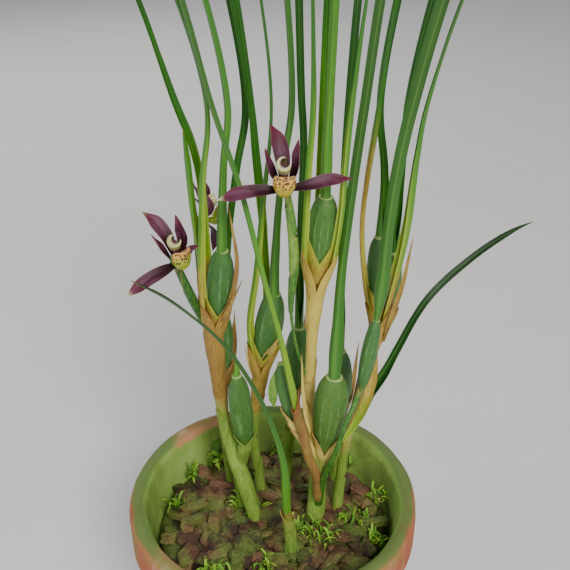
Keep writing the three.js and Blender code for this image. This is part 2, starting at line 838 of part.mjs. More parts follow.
function meshOf(node, solid) {
  const { vertProperties, triVerts } = solid.getMesh();
  const geometry = new THREE.BufferGeometry();
  geometry.setAttribute("position", new THREE.BufferAttribute(new Float32Array(vertProperties), 3));
  geometry.setIndex(new THREE.BufferAttribute(new Uint32Array(triVerts), 1));
  geometry.computeVertexNormals();
  const { colour: color, roughness } = node;
  const material = new THREE.MeshStandardMaterial({ color, roughness, metalness: 0 });
  const mesh = new THREE.Mesh(geometry, material);
  mesh.name = node.name;
  return mesh;
}

const group = new THREE.Group();
nodes.forEach((node, i) => group.add(meshOf(node, cutClear(node, nodes.slice(0, i)))));

export default group;
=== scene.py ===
"""A coconut orchid in a clay pot: the looks of its shoots, flowers, stems, pot and bark.

The tables follow the solids' growth lines, in millimetres. Meshes are made in metres.
"""

import math
import random

import bpy
import numpy as np
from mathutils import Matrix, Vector, noise


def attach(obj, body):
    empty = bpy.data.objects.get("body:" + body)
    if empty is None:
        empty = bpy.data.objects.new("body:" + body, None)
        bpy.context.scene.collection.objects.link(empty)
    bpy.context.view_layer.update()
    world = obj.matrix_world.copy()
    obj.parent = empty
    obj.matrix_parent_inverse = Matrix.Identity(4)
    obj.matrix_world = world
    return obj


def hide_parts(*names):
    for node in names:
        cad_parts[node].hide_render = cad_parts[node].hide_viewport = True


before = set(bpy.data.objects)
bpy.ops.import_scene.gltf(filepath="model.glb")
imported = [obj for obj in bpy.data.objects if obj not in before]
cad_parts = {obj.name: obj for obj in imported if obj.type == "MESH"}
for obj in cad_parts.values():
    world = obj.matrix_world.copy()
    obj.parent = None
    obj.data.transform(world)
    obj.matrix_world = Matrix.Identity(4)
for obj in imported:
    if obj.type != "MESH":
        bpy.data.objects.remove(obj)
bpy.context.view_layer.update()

MM = 0.001
TOWARDS_VIEW = (0, -1, 0)

# Sizes of the pot and its filling
POT_HEIGHT = 118
RIM_RADIUS = 66
RIM_BAND_HEIGHT = 22
RIM_BAND_STEP = 4
FOOT_RADIUS = 43
POT_WALL = 7
POT_FLOOR = 8
DRAIN_RADIUS = 8
MEDIUM_TOP = 101

# How many chips of bark there are, and where the random draws for bark and moss start
CHIPS = 190
BARK_DRAW = 11
MOSS_DRAW = 23

# How the leaves spread above their last chosen point
FAN_CENTRE = (18, 14.5)
FAN_SPREAD = (0.35, 0.62)
FAN_BEND = (1.5, 2.6)
FAN_SHARES = (0.3, 0.6, 0.82, 1)
FAN_DROOP = 0.1

# A bulb's half widths at even steps up its height, and how many fine ridges it has
BULB_SHAPE = (0.4, 0.8, 0.97, 1.04, 1.03, 0.95, 0.77, 0.4)
BULB_RIDGES = 9
# How far the hold of a leafy sheath turns towards the view
CLASP_TURN = 0.8

# Where everything grows. Lines run from the foot to the tip. The left rhizome has a broad
# base, and a scale on the middle one hugs the foot of the single blade.
RHIZOMES = dict(
    left=dict(
        stems=[
            dict(
                line=[
                    [-14, 10, 88], [-15, 9.5, 112], [-19.5, 9, 134], [-22, 7, 155],
                    [-23.5, 4, 186], [-24.5, 3, 203],
                ],
                radius=[3.2, 3, 2.6, 2.3, 3.5, 3.8], scales=3, side=200,
            ),
            dict(
                line=[[-16, 10, 120], [-14, 6, 133], [-12.5, 2, 142]], radius=[2.6, 2.8, 2.9],
                scales=0,
            ),
        ],
        sheaths=[
            dict(
                line=[
                    [-22.6, 0.5, 204], [-20.7, -1.5, 212], [-16.3, -4.5, 222.9],
                    [-14.2, -4.5, 231], [-13.2, -4, 242], [-14.9, -4, 257], [-16, -4, 265],
                ],
                width=2.6,
            ),
            dict(
                line=[
                    [-22.4, 0, 205], [-20.5, -2.3, 210.5], [-18, -4.5, 217], [-15.2, -6.2, 224],
                    [-10.8, -7.5, 234.5],
                ],
                width=2.6,
            ),
        ],
        base=dict(
            line=[[-21.5, 8, 152], [-18, 6.5, 134], [-13, 4, 118], [-8, 1, 97]],
            radius=[1.5, 3.4, 3.9, 3],
        ),
    ),
    inner=dict(
        stems=[
            dict(
                line=[[-5, 20, 88], [-7, 18, 112], [-9, 14, 138], [-6.5, 11, 166], [-5, 9.5, 177]],
                radius=[2.4, 2.2, 2.1, 2.3, 3.2], scales=3, side=160,
            ),
        ],
        sheaths=[
            dict(
                line=[[-6, 10.5, 170], [-8.5, 7.5, 181], [-10.3, 6, 188], [-11.6, 5, 195]],
                width=3.4,
            ),
            dict(line=[[-6.3, 9.5, 174], [-3.8, 7, 185], [0.5, 3.2, 195], [4, 0, 204]], width=5.5),
        ],
    ),
    middle=dict(
        stems=[
            dict(
                line=[
                    [19, 2, 88], [20.5, 1, 112], [20, 1, 132], [18.5, 2, 150], [16.5, 2, 170],
                    [16.5, 1, 190], [17, 0, 207], [17.8, -1, 224],
                ],
                radius=[4, 4.2, 3.2, 2.3, 2.2, 2.2, 2.4, 3.2], scales=3, side=185,
            ),
            dict(
                line=[[20, -1, 120], [19, -8, 141], [14, -10.5, 156], [9.5, -11, 166]],
                radius=[3, 2.8, 2.4, 2.4], scales=2, side=200,
            ),
            dict(
                line=[[20.5, -1, 124], [21.5, -6, 137], [22.3, -9, 146.5]], radius=[3.4, 3.2, 3],
                scales=0,
            ),
        ],
        sheaths=[
            dict(
                line=[
                    [22, -9, 143], [20.5, -9.3, 150], [18, -8, 156], [15.4, -7, 164],
                    [13.6, -6, 174], [12.8, -4.6, 187], [12.5, -4, 197],
                ],
                width=2.6,
            ),
            dict(
                line=[[17, -1.5, 217], [15.5, -4, 230], [13.2, -7, 241], [11.8, -8, 249]],
                width=3.6, tone=0.5,
            ),
        ],
        hugging=dict(
            line=[
                [20.5, -6, 118], [19.6, -8.5, 134], [15.5, -13.2, 150], [13.5, -15.4, 163],
                [10, -16.7, 178], [9, -16.8, 186],
            ],
            radius=[1.8, 1.8, 1.7, 1.6, 1.5, 1.5],
        ),
    ),
    right=dict(
        stems=[
            dict(
                line=[
                    [30, 8, 88], [31.4, 7, 116], [34, 5, 146], [37.5, 4.5, 168], [41, 5, 186],
                    [44.5, 6, 203],
                ],
                radius=[2.8, 2.4, 1.9, 1.8, 2.2, 3.2], scales=3, side=20,
            ),
            dict(
                line=[[37.5, 5.5, 166], [40.5, 9.5, 181], [48, 13, 198]], radius=[1.4, 1.5, 2.2],
                scales=0,
            ),
        ],
        sheaths=[
            dict(line=[[47, 4, 198], [49.8, 0, 215], [52.6, -3.5, 233], [54.8, -6, 252]], width=3),
        ],
    ),
    front=dict(
        stems=[
            dict(
                line=[[9, -20, 88], [8, -21.5, 112], [6.5, -23.5, 128]], radius=[2.8, 2.6, 2.4],
                scales=3, side=-60,
            ),
        ],
    ),
    back_left=dict(
        stems=[
            dict(
                line=[[-20, 27, 88], [-22, 26, 118], [-24, 24, 150], [-24, 22, 164]],
                radius=[2.8, 2.6, 2.6, 3], scales=3, side=90,
            ),
        ],
        sheaths=[dict(line=[[-22.5, 24, 156], [-18.5, 29, 176], [-17, 32, 196]], width=6)],
    ),
    back_middle=dict(
        stems=[
            dict(
                line=[[6, 32, 88], [7, 33, 112], [9, 32, 140], [10, 30, 152]],
                radius=[2.8, 2.6, 2.6, 3], scales=3, side=60,
            ),
        ],
        sheaths=[dict(line=[[11, 33, 146], [14, 38, 166], [15, 41, 190]], width=6)],
    ),
    back_right=dict(
        stems=[
            dict(
                line=[[30, 28, 88], [31, 28, 110], [32, 27, 130], [32, 26, 142]],
                radius=[2.8, 2.6, 2.6, 3], scales=3, side=120,
            ),
        ],
        sheaths=[dict(line=[[34, 29, 136], [38, 34, 156], [40, 37, 176]], width=3)],
    ),
)

SHOOTS = dict(
    upper_left=dict(
        bulb=dict(base=[-22.4, 2, 209], top=[-19, 0, 244], width=10.4),
        leaf=dict(
            line=[[-19.2, 0.1, 242], [-18.5, 0, 263], [-17.5, 1, 280], [-15.5, 4, 301]], width=3,
            rise=205,
        ),
        sheaths=[
            dict(
                line=[
                    [-25, 1, 204], [-28.5, -3.5, 228], [-27, -5, 255], [-25.5, -6, 276],
                    [-22.5, -6, 304],
                ],
                rise=190,
            ),
            dict(line=[[-26, 4, 204], [-29, 3.5, 237], [-31, 3, 262], [-32, 1.5, 293]], width=2.4),
            dict(
                line=[
                    [-24.5, 5, 204], [-27, 9.5, 240], [-28, 9, 270], [-30.5, 8.5, 285],
                    [-35, 7, 300],
                ],
                width=2.6, rise=163,
            ),
        ],
    ),
    lower_left=dict(
        bulb=dict(base=[-12, 1.5, 143], top=[-15, -1, 184.5], width=9.6),
        leaf=dict(line=[[-15, -1, 182.5], [-15, -1, 189], [-15, -1, 196]], width=2.4),
    ),
    inner=dict(
        bulb=dict(base=[-4.6, 8.5, 182.5], top=[1.5, 6, 221], width=11.2),
        leaf=dict(
            line=[[1.4, 6, 219], [1.5, 6, 235], [3, 6, 260], [5, 7, 278], [8, 11, 298]], width=3,
            rise=190,
        ),
        sheaths=[
            dict(
                line=[
                    [-6, 7, 178], [-10, 4, 205], [-6.5, 1, 233], [-3.5, 1.5, 262], [0.5, 3, 301],
                ],
                rise=200,
            ),
            dict(
                line=[
                    [-3, 11.5, 178], [-1.5, 16, 205], [-3, 19, 240], [-6, 21, 275], [-8, 22, 300],
                ],
                width=2.8, rise=170,
            ),
        ],
    ),
    behind_blade=dict(bulb=dict(base=[9.2, -10.9, 166.4], top=[4, -8, 195.5], width=7.4)),
    blade=dict(
        leaf=dict(
            line=[
                [15.2, -13, 151], [13.6, -15.2, 163], [10, -16.5, 178], [4, -16.5, 211],
                [-2, -16, 237], [-10.5, -14, 275], [-19.5, -14, 306],
            ],
            width=2.5, rise=170, foot=1.4,
        ),
    ),
    centre=dict(
        bulb=dict(base=[18.3, -1.8, 230.5], top=[21, -4, 269], width=10.4),
        leaf=dict(
            line=[[20.9, -4, 267], [21, -4, 277], [21, -3, 290], [21.5, -1, 303]], width=3.3,
            rise=215,
        ),
        sheaths=[
            dict(
                line=[
                    [16.2, -2.5, 226], [12.4, -5.5, 241], [12.8, -8, 262], [13.5, -8.5, 280],
                    [15, -7, 304],
                ],
                rise=185,
            ),
            dict(
                line=[
                    [19.8, -2.5, 226], [24.8, -5.5, 241], [27.2, -9.5, 263], [28, -11, 281],
                    [29.5, -11, 306],
                ],
                rise=180,
            ),
            dict(
                line=[
                    [18.5, 0.5, 226], [19, 5.5, 240], [19.5, 9, 265], [20, 13, 290],
                    [20.5, 17, 304],
                ],
                width=2.6, rise=170,
            ),
        ],
    ),
    low_middle=dict(
        bulb=dict(base=[22.4, -9.8, 147.4], top=[26, -12, 192], width=14.2),
        leaf=dict(
            line=[
                [25.9, -11.9, 190], [26.4, -11, 208], [27.5, -6, 233], [30.2, -2, 262],
                [34.5, 2, 301],
            ],
            width=3.7, rise=200, foot=1.4,
        ),
    ),
    right_front=dict(
        bulb=dict(base=[36.8, -14.2, 185.5], top=[42, -11, 218.5], width=6, narrow=1.5),
        leaf=dict(
            line=[
                [41.8, -11, 216.5], [43.5, -11, 236], [44, -10.5, 252], [46, -9, 276],
                [50.5, -7, 304],
            ],
            width=4.6, rise=195,
        ),
    ),
    right=dict(
        bulb=dict(base=[44.4, 6.2, 209], top=[43, 4, 248], width=9.4),
        leaf=dict(
            line=[[43.1, 4.1, 246], [44, 5.5, 262], [43.5, 9, 276], [41.5, 15, 298]], width=3,
            rise=185,
        ),
        sheaths=[
            dict(
                line=[[43, 5, 204], [37.6, 2, 226], [35, 0, 251], [36, 1, 272], [39.5, 4, 301]],
                width=2.4, rise=150,
            ),
            dict(
                line=[[46, 4, 204], [50, 0, 226], [53.5, -3, 255], [54.5, -5, 284], [56, -7, 304]],
                rise=150,
            ),
        ],
    ),
    right_behind=dict(
        bulb=dict(base=[48.2, 13.2, 198.6], top=[50.5, 13, 236], width=9),
        leaf=dict(
            line=[[50.4, 13, 234], [51, 15, 256], [52, 18, 278], [53, 22, 296]], width=2.8,
            rise=165,
        ),
    ),
    back_left=dict(
        bulb=dict(base=[-24, 21.8, 164.6], top=[-22, 22, 202], width=10, narrow=0.7),
        leaf=dict(
            line=[[-22, 22, 200], [-18, 24, 240], [-14, 26, 267], [-10, 30, 292]], width=3.2,
            rise=180,
        ),
    ),
    back_middle=dict(
        bulb=dict(base=[10.2, 29.6, 152.6], top=[12, 28, 190], width=11),
        leaf=dict(
            line=[[12, 28, 188], [12, 27, 235], [13, 28, 279], [12, 31, 296]], width=3.2, rise=190,
        ),
    ),
    back_right=dict(
        bulb=dict(base=[32, 25.8, 142.6], top=[31, 27, 178], width=10),
        leaf=dict(
            line=[[31, 27, 176], [30, 29, 220], [30, 31, 260], [31, 34, 290]], width=3.2, rise=180,
        ),
    ),
)

SINGLE_BLADES = dict(
    front_blade=dict(
        line=[
            [6.5, -23.6, 128.6], [5, -26, 154], [0, -28, 179], [-9, -32, 205], [-19.5, -36, 226],
            [-35.5, -42, 246], [-47.5, -46, 256],
        ],
        width=2.9, tone=(0.25, 0.6, 0.9, 1.0, 1.0),
    ),
    right_blade=dict(
        line=[
            [40.5, 8, 158], [44, 10, 166], [49, 12, 175], [55, 16, 186], [68, 25, 206],
            [89, 38, 220], [108, 48, 228], [118, 53, 230],
        ],
        width=3.3, tone=(0.7, 0.85, 0.95, 0.95),
    ),
)

FLOWERS = dict(
    centre=dict(
        bloom=dict(
            centre=[5.2, -20, 281], facing=[0.04, -0.9, 0.45], up=[0, 0.4, 1], pale=(0, 0, 1),
            lime=0.1,
        ),
        stalk=dict(
            line=[
                [14, -2.5, 186], [10.5, -5, 200], [8, -7.5, 220], [9, -11, 243], [8, -14, 262],
                [6, -17, 276],
            ],
            radius=[1.1, 1.1, 1.3, 2.1, 2, 1.6], scales=3, tone=0.45, bare=0.36,
        ),
    ),
    left=dict(
        bloom=dict(
            centre=[-36, -12, 247], facing=[0.42, -0.75, 0.5], up=[-0.36, 0.3, 0.88],
            right_tip=[8.6, 0.2, 5], pale=(0.2, 0, 0.8),
        ),
        stalk=dict(
            line=[
                [-27, 7, 203], [-29.3, 3.5, 211], [-30.7, 0, 217.5], [-32.2, -5, 226],
                [-34, -8.5, 234], [-36, -11, 242],
            ],
            radius=[1.8, 2, 2.1, 2.1, 2, 1.8],
        ),
    ),
    far=dict(
        bloom=dict(centre=[-30, 38, 240], facing=[0.95, 0.25, 0.25], up=[-0.3, 0, 1]),
        stalk=dict(
            line=[[-26.5, 27, 152], [-29, 30, 180], [-32, 34, 208], [-33.5, 37, 236]],
            radius=[1.1, 1.3, 1.6, 1.7, 1.6, 1.4],
        ),
    ),
)


# Finishes


def tint(code):
    """A colour written as #rrggbb, in the linear numbers that a shader takes."""
    shares = [int(code[i : i + 2], 16) / 255 for i in (1, 3, 5)]
    linear = [s / 12.92 if s <= 0.04045 else ((s + 0.055) / 1.055) ** 2.4 for s in shares]
    return (*linear, 1)


class Value:
    """A node's socket that joins in arithmetic: each operation adds its own Math node."""

    def __init__(self, finish, socket):
        self.finish = finish
        self.socket = socket

    def math(self, operation, first, second):
        return self.finish.node("ShaderNodeMath", {"operation": operation}, {0: first, 1: second})

    def __add__(self, other):
        return self.math("ADD", self, other)

    def __sub__(self, other):
        return self.math("SUBTRACT", self, other)

    def __rsub__(self, other):
        return self.math("SUBTRACT", other, self)

    def __mul__(self, other):
        return self.math("MULTIPLY", self, other)

    __radd__ = __add__
    __rmul__ = __mul__


class Finish:
    """A material under construction."""

    def __init__(self, name):
        self.material = bpy.data.materials.new(name)
        self.material.use_nodes = True
        self.tree = self.material.node_tree
        self.tree.nodes.clear()

    def node(self, kind, settings, inputs, output=0):
        """Adds a node: its settings first, then the values or links of its sockets."""
        made = self.tree.nodes.new(kind)
        for key, value in settings.items():
            if key == "stops":
                stops = made.color_ramp.elements
                while len(stops) < len(value):
                    stops.new(0.5)
                for stop, (place, colour) in zip(stops, value):
                    stop.position = place
                    stop.color = colour
            else:
                setattr(made, key, value)
        for key, value in inputs.items():
            if isinstance(value, Value):
                self.tree.links.new(value.socket, made.inputs[key])
            else:
                made.inputs[key].default_value = value
        return Value(self, made.outputs[output]) if len(made.outputs) else None

    def trait(self, name):
        """A number that the mesh keeps at each of its points."""
        return self.node("ShaderNodeAttribute", {"attribute_name": name}, {}, "Fac")

    def place(self, stretch=(1, 1, 1)):
        """The place on the part, in millimetres, squeezed along each axis by stretch."""
        where = self.node("ShaderNodeTexCoord", {}, {}, "Object")
        squeeze = tuple(s / MM for s in stretch)
        return self.node("ShaderNodeVectorMath", {"operation": "MULTIPLY"}, {0: where, 1: squeeze})

    def lengthwise(self, across, along):
        """A place on a blade: across it, along it, and a third number that differs by piece."""
        inputs = {
            "X": self.trait("across") * across,
            "Y": self.trait("along") * along,
            "Z": self.trait("seed"),
        }
        return self.node("ShaderNodeCombineXYZ", {}, inputs)

    def cloud(self, place, scale, detail=3, roughness=0.55):
        """Soft noise from about 0.25 to 0.75."""
        inputs = {"Vector": place, "Scale": scale, "Detail": detail, "Roughness": roughness}
        return self.node("ShaderNodeTexNoise", {}, inputs, "Fac")

    def cells(self, place, scale):
        """The distance to the nearest of many scattered points."""
        return self.node("ShaderNodeTexVoronoi", {}, {"Vector": place, "Scale": scale}, "Distance")

    def rise(self, value, low, high):
        """0 below low, 1 above high and smooth between. It falls where low is above high."""
        inputs = {"Value": value, "From Min": low, "From Max": high}
        if low > high:
            inputs = {"Value": value, "From Min": high, "From Max": low, "To Min": 1, "To Max": 0}
        return self.node("ShaderNodeMapRange", {"interpolation_type": "SMOOTHSTEP"}, inputs)

    def mix(self, factor, first, second):
        """The first colour, turned into the second where factor is 1."""
        inputs = {0: factor, 6: first, 7: second}
        return self.node("ShaderNodeMix", {"data_type": "RGBA"}, inputs, 2)

    def ramp(self, value, stops):
        return self.node("ShaderNodeValToRGB", {"stops": stops}, {"Fac": value})

    def close(self, colour, roughness, height, depth, fixed=None):
        """Ends the material. depth is how far the height stands up, in millimetres."""
        inputs = {"Height": height, "Distance": depth * MM, "Strength": 1}
        normal = self.node("ShaderNodeBump", {}, inputs, "Normal")
        sockets = {"Base Color": colour, "Roughness": roughness, "Normal": normal}
        sockets.update(fixed or {})
        shader = self.node("ShaderNodeBsdfPrincipled", {}, sockets, "BSDF")
        self.node("ShaderNodeOutputMaterial", {}, {"Surface": shader})
        return self.material


def leaf_skin(name, margin=0.0):
    """Satin leaf with fine veins. tone 0 is yellow-green and 1 deep green; dry 1 is tan paper.

    margin is how far the edges of a sheath pale to cream in its lower half.
    """
    f = Finish(name)
    across, along = f.trait("across"), f.trait("along")
    fibre = f.cloud(f.place((2.4, 2.4, 0.09)) if margin else f.lengthwise(12, 24), 1, 4)
    patch = f.cloud(f.place((0.08, 0.08, 0.03)), 1, 3)
    veins = f.node("ShaderNodeMath", {"operation": "SINE"}, {0: across * 29})
    edge = across * across
    midrib = f.rise(edge, 0.025, 0)
    tone = f.trait("tone") + (patch - 0.5) * 0.3 + (fibre - 0.5) * 0.35 + veins * 0.015
    green = f.ramp(tone, [
        (0, tint("#7a9a06")), (0.28, tint("#4e8412")), (0.55, tint("#286212")),
        (0.8, tint("#184213")), (1, tint("#0f2a10")),
    ])
    green = f.mix(midrib * 0.16, green, tint("#8fb84a"))
    green = f.mix(f.trait("back") * 0.25, green, tint("#5d9140"))
    green = f.mix(f.rise(along, 0.97, 0.998) * 0.8, green, tint("#8a6a30"))
    paper = f.ramp(fibre * 0.55 + patch * 0.3 - f.trait("tone") * 0.5 + 0.15, [
        (0.2, tint("#6a4c24")), (0.38, tint("#8d6c32")), (0.58, tint("#b59a44")),
        (0.8, tint("#d2c05c")),
    ])
    paper = f.mix(f.rise(edge, 0.8, 0.97) * 0.3, paper, tint("#8c4526"))
    dry = f.rise(f.trait("dry") + (fibre - 0.5) * 0.6 + (patch - 0.5) * 0.3, 0.3, 0.7)
    if margin:
        low = f.rise(along, 0.38, 0.16)
        pale = f.rise(edge + (fibre - 0.5) * 0.4, 0.22, 0.75) * low * margin
        green = f.mix(pale, green, tint("#a3b63a"))
        dry = dry * (1 - pale * 0.85)
    colour = f.mix(dry, green, paper)
    roughness = 0.4 + dry * 0.32 + (fibre - 0.5) * 0.3
    height = veins * 0.18 + fibre * (0.8 + dry)
    return f.close(colour, roughness, height, 0.05, {"Specular IOR Level": 0.3})


def bulb_skin(name):
    """Finely speckled and ridged, with a pale scar round its top. tone 0 is olive, 1 bluish."""
    f = Finish(name)
    ridge, along = f.trait("across"), f.trait("along")
    place = f.place()
    mottle = f.cloud(f.place((1, 1, 0.4)), 0.4, 4)
    grain = f.cloud(place, 2.6, 4)
    wrinkle = f.cloud(f.place((1, 1, 0.22)), 1.3, 4, 0.6)
    specks = f.rise(f.cells(place, 1.6), 0.34, 0.1) * f.rise(mottle, 0.42, 0.58)
    tone = f.trait("tone") + (mottle - 0.5) * 0.9 + (grain - 0.5) * 0.3
    green = f.ramp(tone, [
        (0, tint("#4f6f22")), (0.35, tint("#46702b")), (0.65, tint("#396830")),
        (1, tint("#2b5738")),
    ])
    lines = f.rise(ridge + (wrinkle - 0.5) * 0.8, 0.35, 1) * f.rise(mottle, 0.35, 0.65)
    green = f.mix(lines * 0.4, green, tint("#8cb06e"))
    green = f.mix(f.rise(wrinkle, 0.5, 0.36) * 0.35, green, tint("#1f4a1c"))
    green = f.mix(specks * 0.3, green, tint("#9dbb70"))
    green = f.mix(f.rise(along, 0.16, 0) * 0.45, green, tint("#7f8a2c"))
    scar = f.rise(along, 0.966, 0.971)
    colour = f.mix(scar * 0.7, green, tint("#a3b86c"))
    roughness = 0.5 + (grain - 0.5) * 0.35
    height = ridge * 0.3 + mottle * 0.7 + wrinkle + grain * 0.5 + specks * 0.6
    return f.close(colour, roughness, height, 0.14, {"Specular IOR Level": 0.4})


def papery_skin(name):
    """Dry fibrous scales, cream to tan, browner at their margins.

    They are green below the height that dry gives, in millimetres.
    """
    f = Finish(name)
    place = f.place((1, 1, 0.06))
    height_up = f.node("ShaderNodeSeparateXYZ", {}, {0: f.place()}, "Z")
    fibre = f.cloud(place, 1.7, 5, 0.6)
    patch = f.cloud(f.place((0.12, 0.12, 0.05)), 1, 4)
    blush = f.cloud(f.place((0.2, 0.2, 0.09)), 1, 3)
    tone = f.trait("tone") * 0.6 + patch * 0.5 + (fibre - 0.5) * 0.55
    paper = f.ramp(tone, [
        (0.15, tint("#d0be68")), (0.35, tint("#b49a4e")), (0.55, tint("#8c7038")),
        (0.75, tint("#6b4e2a")), (0.95, tint("#4c301c")),
    ])
    paper = f.mix(f.rise(blush, 0.52, 0.66) * 0.3, paper, tint("#b07048"))
    along = f.trait("along")
    paper = f.mix(f.rise(along, 0.9, 1) * 0.5, paper, tint("#8a4a2a"))
    fresh = f.rise(height_up - f.trait("dry") + (patch - 0.5) * 40, 12, -14)
    green = f.ramp(fibre + (patch - 0.5) * 0.5, [
        (0.3, tint("#4f7a28")), (0.55, tint("#759c3a")), (0.75, tint("#a2b858")),
    ])
    colour = f.mix(fresh * 0.9, paper, green)
    roughness = 0.62 + (fibre - 0.5) * 0.4
    return f.close(colour, roughness, fibre + patch * 0.6, 0.16, {"Specular IOR Level": 0.3})


def tepal_skin(name):
    """Glossy maroon with a painted mauve sheen in patches, pale margins and reddened tips."""
    f = Finish(name)
    across, along = f.trait("across"), f.trait("along")
    fibre = f.cloud(f.lengthwise(9, 2.5), 1, 3)
    patch = f.cloud(f.lengthwise(1.2, 2.5), 1, 3)
    veins = f.node("ShaderNodeMath", {"operation": "SINE"}, {0: across * 24})
    edge = f.rise(across * across, 0.66, 1)
    body = f.ramp(along + (fibre - 0.5) * 0.12, [
        (0, tint("#18040a")), (0.3, tint("#2c0612")), (0.6, tint("#3e0c1e")),
        (0.82, tint("#521428")), (0.93, tint("#5c0812")),
    ])
    # painted sheen: mauve patches in the colour stand in for the glossy highlights
    painted_sheen = f.rise(patch + (fibre - 0.5) * 0.2, 0.4, 0.68) * f.rise(along, 0.2, 0.55)
    body = f.mix(painted_sheen * 0.55, body, tint("#6c4058"))
    body = f.mix(f.rise(veins, 0.3, 1) * 0.1, body, tint("#1c0610"))
    body = f.mix(edge * (0.06 + along * 0.25), body, tint("#98586e"))
    body = f.mix(f.trait("back") * 0.2, body, tint("#8c5a66"))
    colour = f.mix(f.trait("tone") * f.rise(along, 0.85, 1), body, tint("#cfcd9a"))
    roughness = 0.46 + fibre * 0.2
    height = veins * 0.3 + fibre
    return f.close(colour, roughness, height, 0.03, {"Specular IOR Level": 0.3})


def lip_skin(name):
    """Waxy yellow-green below, peach towards the apex, blotched with maroon."""
    f = Finish(name)
    across, along = f.trait("across"), f.trait("along")
    grain = f.cloud(f.place(), 1.2, 3)
    body = f.ramp(along + (grain - 0.5) * 0.12, [
        (0, tint("#6e7a0e")), (0.3, tint("#948f14")), (0.5, tint("#b39a1c")),
        (0.66, tint("#c89a2c")), (0.8, tint("#d49c48")),
    ])
    body = f.mix(f.trait("tone") * f.rise(along, 0.85, 0.55), body, tint("#8a9e18"))
    blotch = f.cells(f.place(), 1.05) + (grain - 0.5) * 0.7
    spots = f.rise(blotch, 0.49, 0.4) * f.rise(along + (grain - 0.5) * 0.4, 0.42, 0.58)
    small = f.rise(f.cells(f.place(), 1.5), 0.28, 0.2) * f.rise(along, 0.3, 0.6)
    colour = f.mix(small * 0.55, body, tint("#8a4a24"))
    colour = f.mix(spots * 0.95, colour, tint("#3a0a12"))
    colour = f.mix(f.rise(across * across, 0.88, 1) * 0.4, colour, tint("#f2dc94"))
    return f.close(colour, 0.32 + grain * 0.2, spots + grain * 0.4, 0.08, {"Coat Weight": 0.2})


def column_skin(name):
    """A waxy cream hood on a purple foot, with painted shade darkening the inside of its hollow."""
    f = Finish(name)
    along = f.trait("along")
    grain = f.cloud(f.place(), 1.4, 3)
    body = f.ramp(along + (grain - 0.5) * 0.25, [
        (0, tint("#2a0a16")), (0.4, tint("#4e2238")), (0.56, tint("#b8ad66")),
        (0.85, tint("#cdcb88")),
    ])
    # painted shade: the inner side of the hood, where the back trait is 0, is darkened to brown
    colour = f.mix(0.85 - f.trait("back") * 0.85, body, tint("#34180f"))
    return f.close(colour, 0.35 + grain * 0.25, grain, 0.05, {"Coat Weight": 0.1})


def stalk_skin(name):
    """Fleshy light green, mottled, with pale papery ends to its bracts."""
    f = Finish(name)
    along = f.trait("along")
    fibre = f.cloud(f.place((1, 1, 0.12)), 1.5, 4)
    mottle = f.cloud(f.place((1, 1, 0.4)), 0.7, 5, 0.65)
    green = f.ramp(f.trait("tone") + (mottle - 0.5) * 1.3 + (fibre - 0.5) * 0.4, [
        (0, tint("#88a644")), (0.4, tint("#5a862c")), (0.75, tint("#386c1e")),
        (1, tint("#234f1a")),
    ])
    colour = f.mix(f.rise(along, 0.93, 1) * 0.5, green, tint("#a88c4e"))
    return f.close(colour, 0.5 + (fibre - 0.5) * 0.3, fibre + mottle, 0.1)


def fired_clay(name):
    """Unglazed clay: pink-brown, bloomed with lime outside and grown over with algae inside, where
    the bare clay is paled by painted light.
    """
    f = Finish(name)
    place = f.place()
    inside = f.trait("along")
    grit = f.cloud(place, 1.6, 6, 0.65)
    cloudy = f.cloud(place, 0.045, 5, 0.6)
    streak = f.cloud(f.place((1, 1, 0.25)), 0.09, 5, 0.6)
    height_up = f.node("ShaderNodeSeparateXYZ", {}, {0: place}, "Z")
    clay = f.ramp(grit * 0.5 + cloudy * 0.6, [
        (0.3, tint("#8a4a30")), (0.52, tint("#ab6242")), (0.75, tint("#c4805c")),
    ])
    lime = f.rise(streak + (grit - 0.5) * 0.25, 0.5, 0.7)
    outside = f.mix(lime * 0.5, clay, tint("#cfc0a6"))
    stain = f.rise(cloudy + (grit - 0.5) * 0.2 + height_up * 0.0016, 0.6, 0.76)
    outside = f.mix(stain * 0.55, outside, tint("#74803e"))
    algae = f.ramp(cloudy * 0.7 + streak * 0.3 + (grit - 0.5) * 0.6, [
        (0.34, tint("#66803c")), (0.46, tint("#7a9e42")), (0.6, tint("#8db354")),
        (0.74, tint("#a4b274")),
    ])
    side = f.node("ShaderNodeSeparateXYZ", {}, {0: place}, "X")
    bare = f.rise(side + (cloudy - 0.5) * 8, -24, -29)
    bare = bare * f.rise(side + (grit - 0.5) * 6, -52, -46)
    grown = f.rise(height_up + (streak - 0.5) * 6, 116, 112.5) * bare + (1 - bare)
    # painted light: where the inner wall is bare, the clay is paled towards light pink to lift the
    # shade that falls inside the pot
    within = f.mix(grown * 0.94, f.mix(0.6, clay, tint("#c39672")), algae)
    colour = f.mix(f.rise(inside, 0.35, 0.65), outside, within)
    rim = f.rise(height_up + (cloudy - 0.5) * 3, 115.8, 117.5)
    moss_line = f.mix(cloudy, tint("#446628"), tint("#687e46"))
    colour = f.mix(rim * (0.92 - bare * 0.5), colour, moss_line)
    roughness = 0.8 + (grit - 0.5) * 0.3
    return f.close(colour, roughness, grit + streak * 0.6, 0.35, {"Specular IOR Level": 0.25})


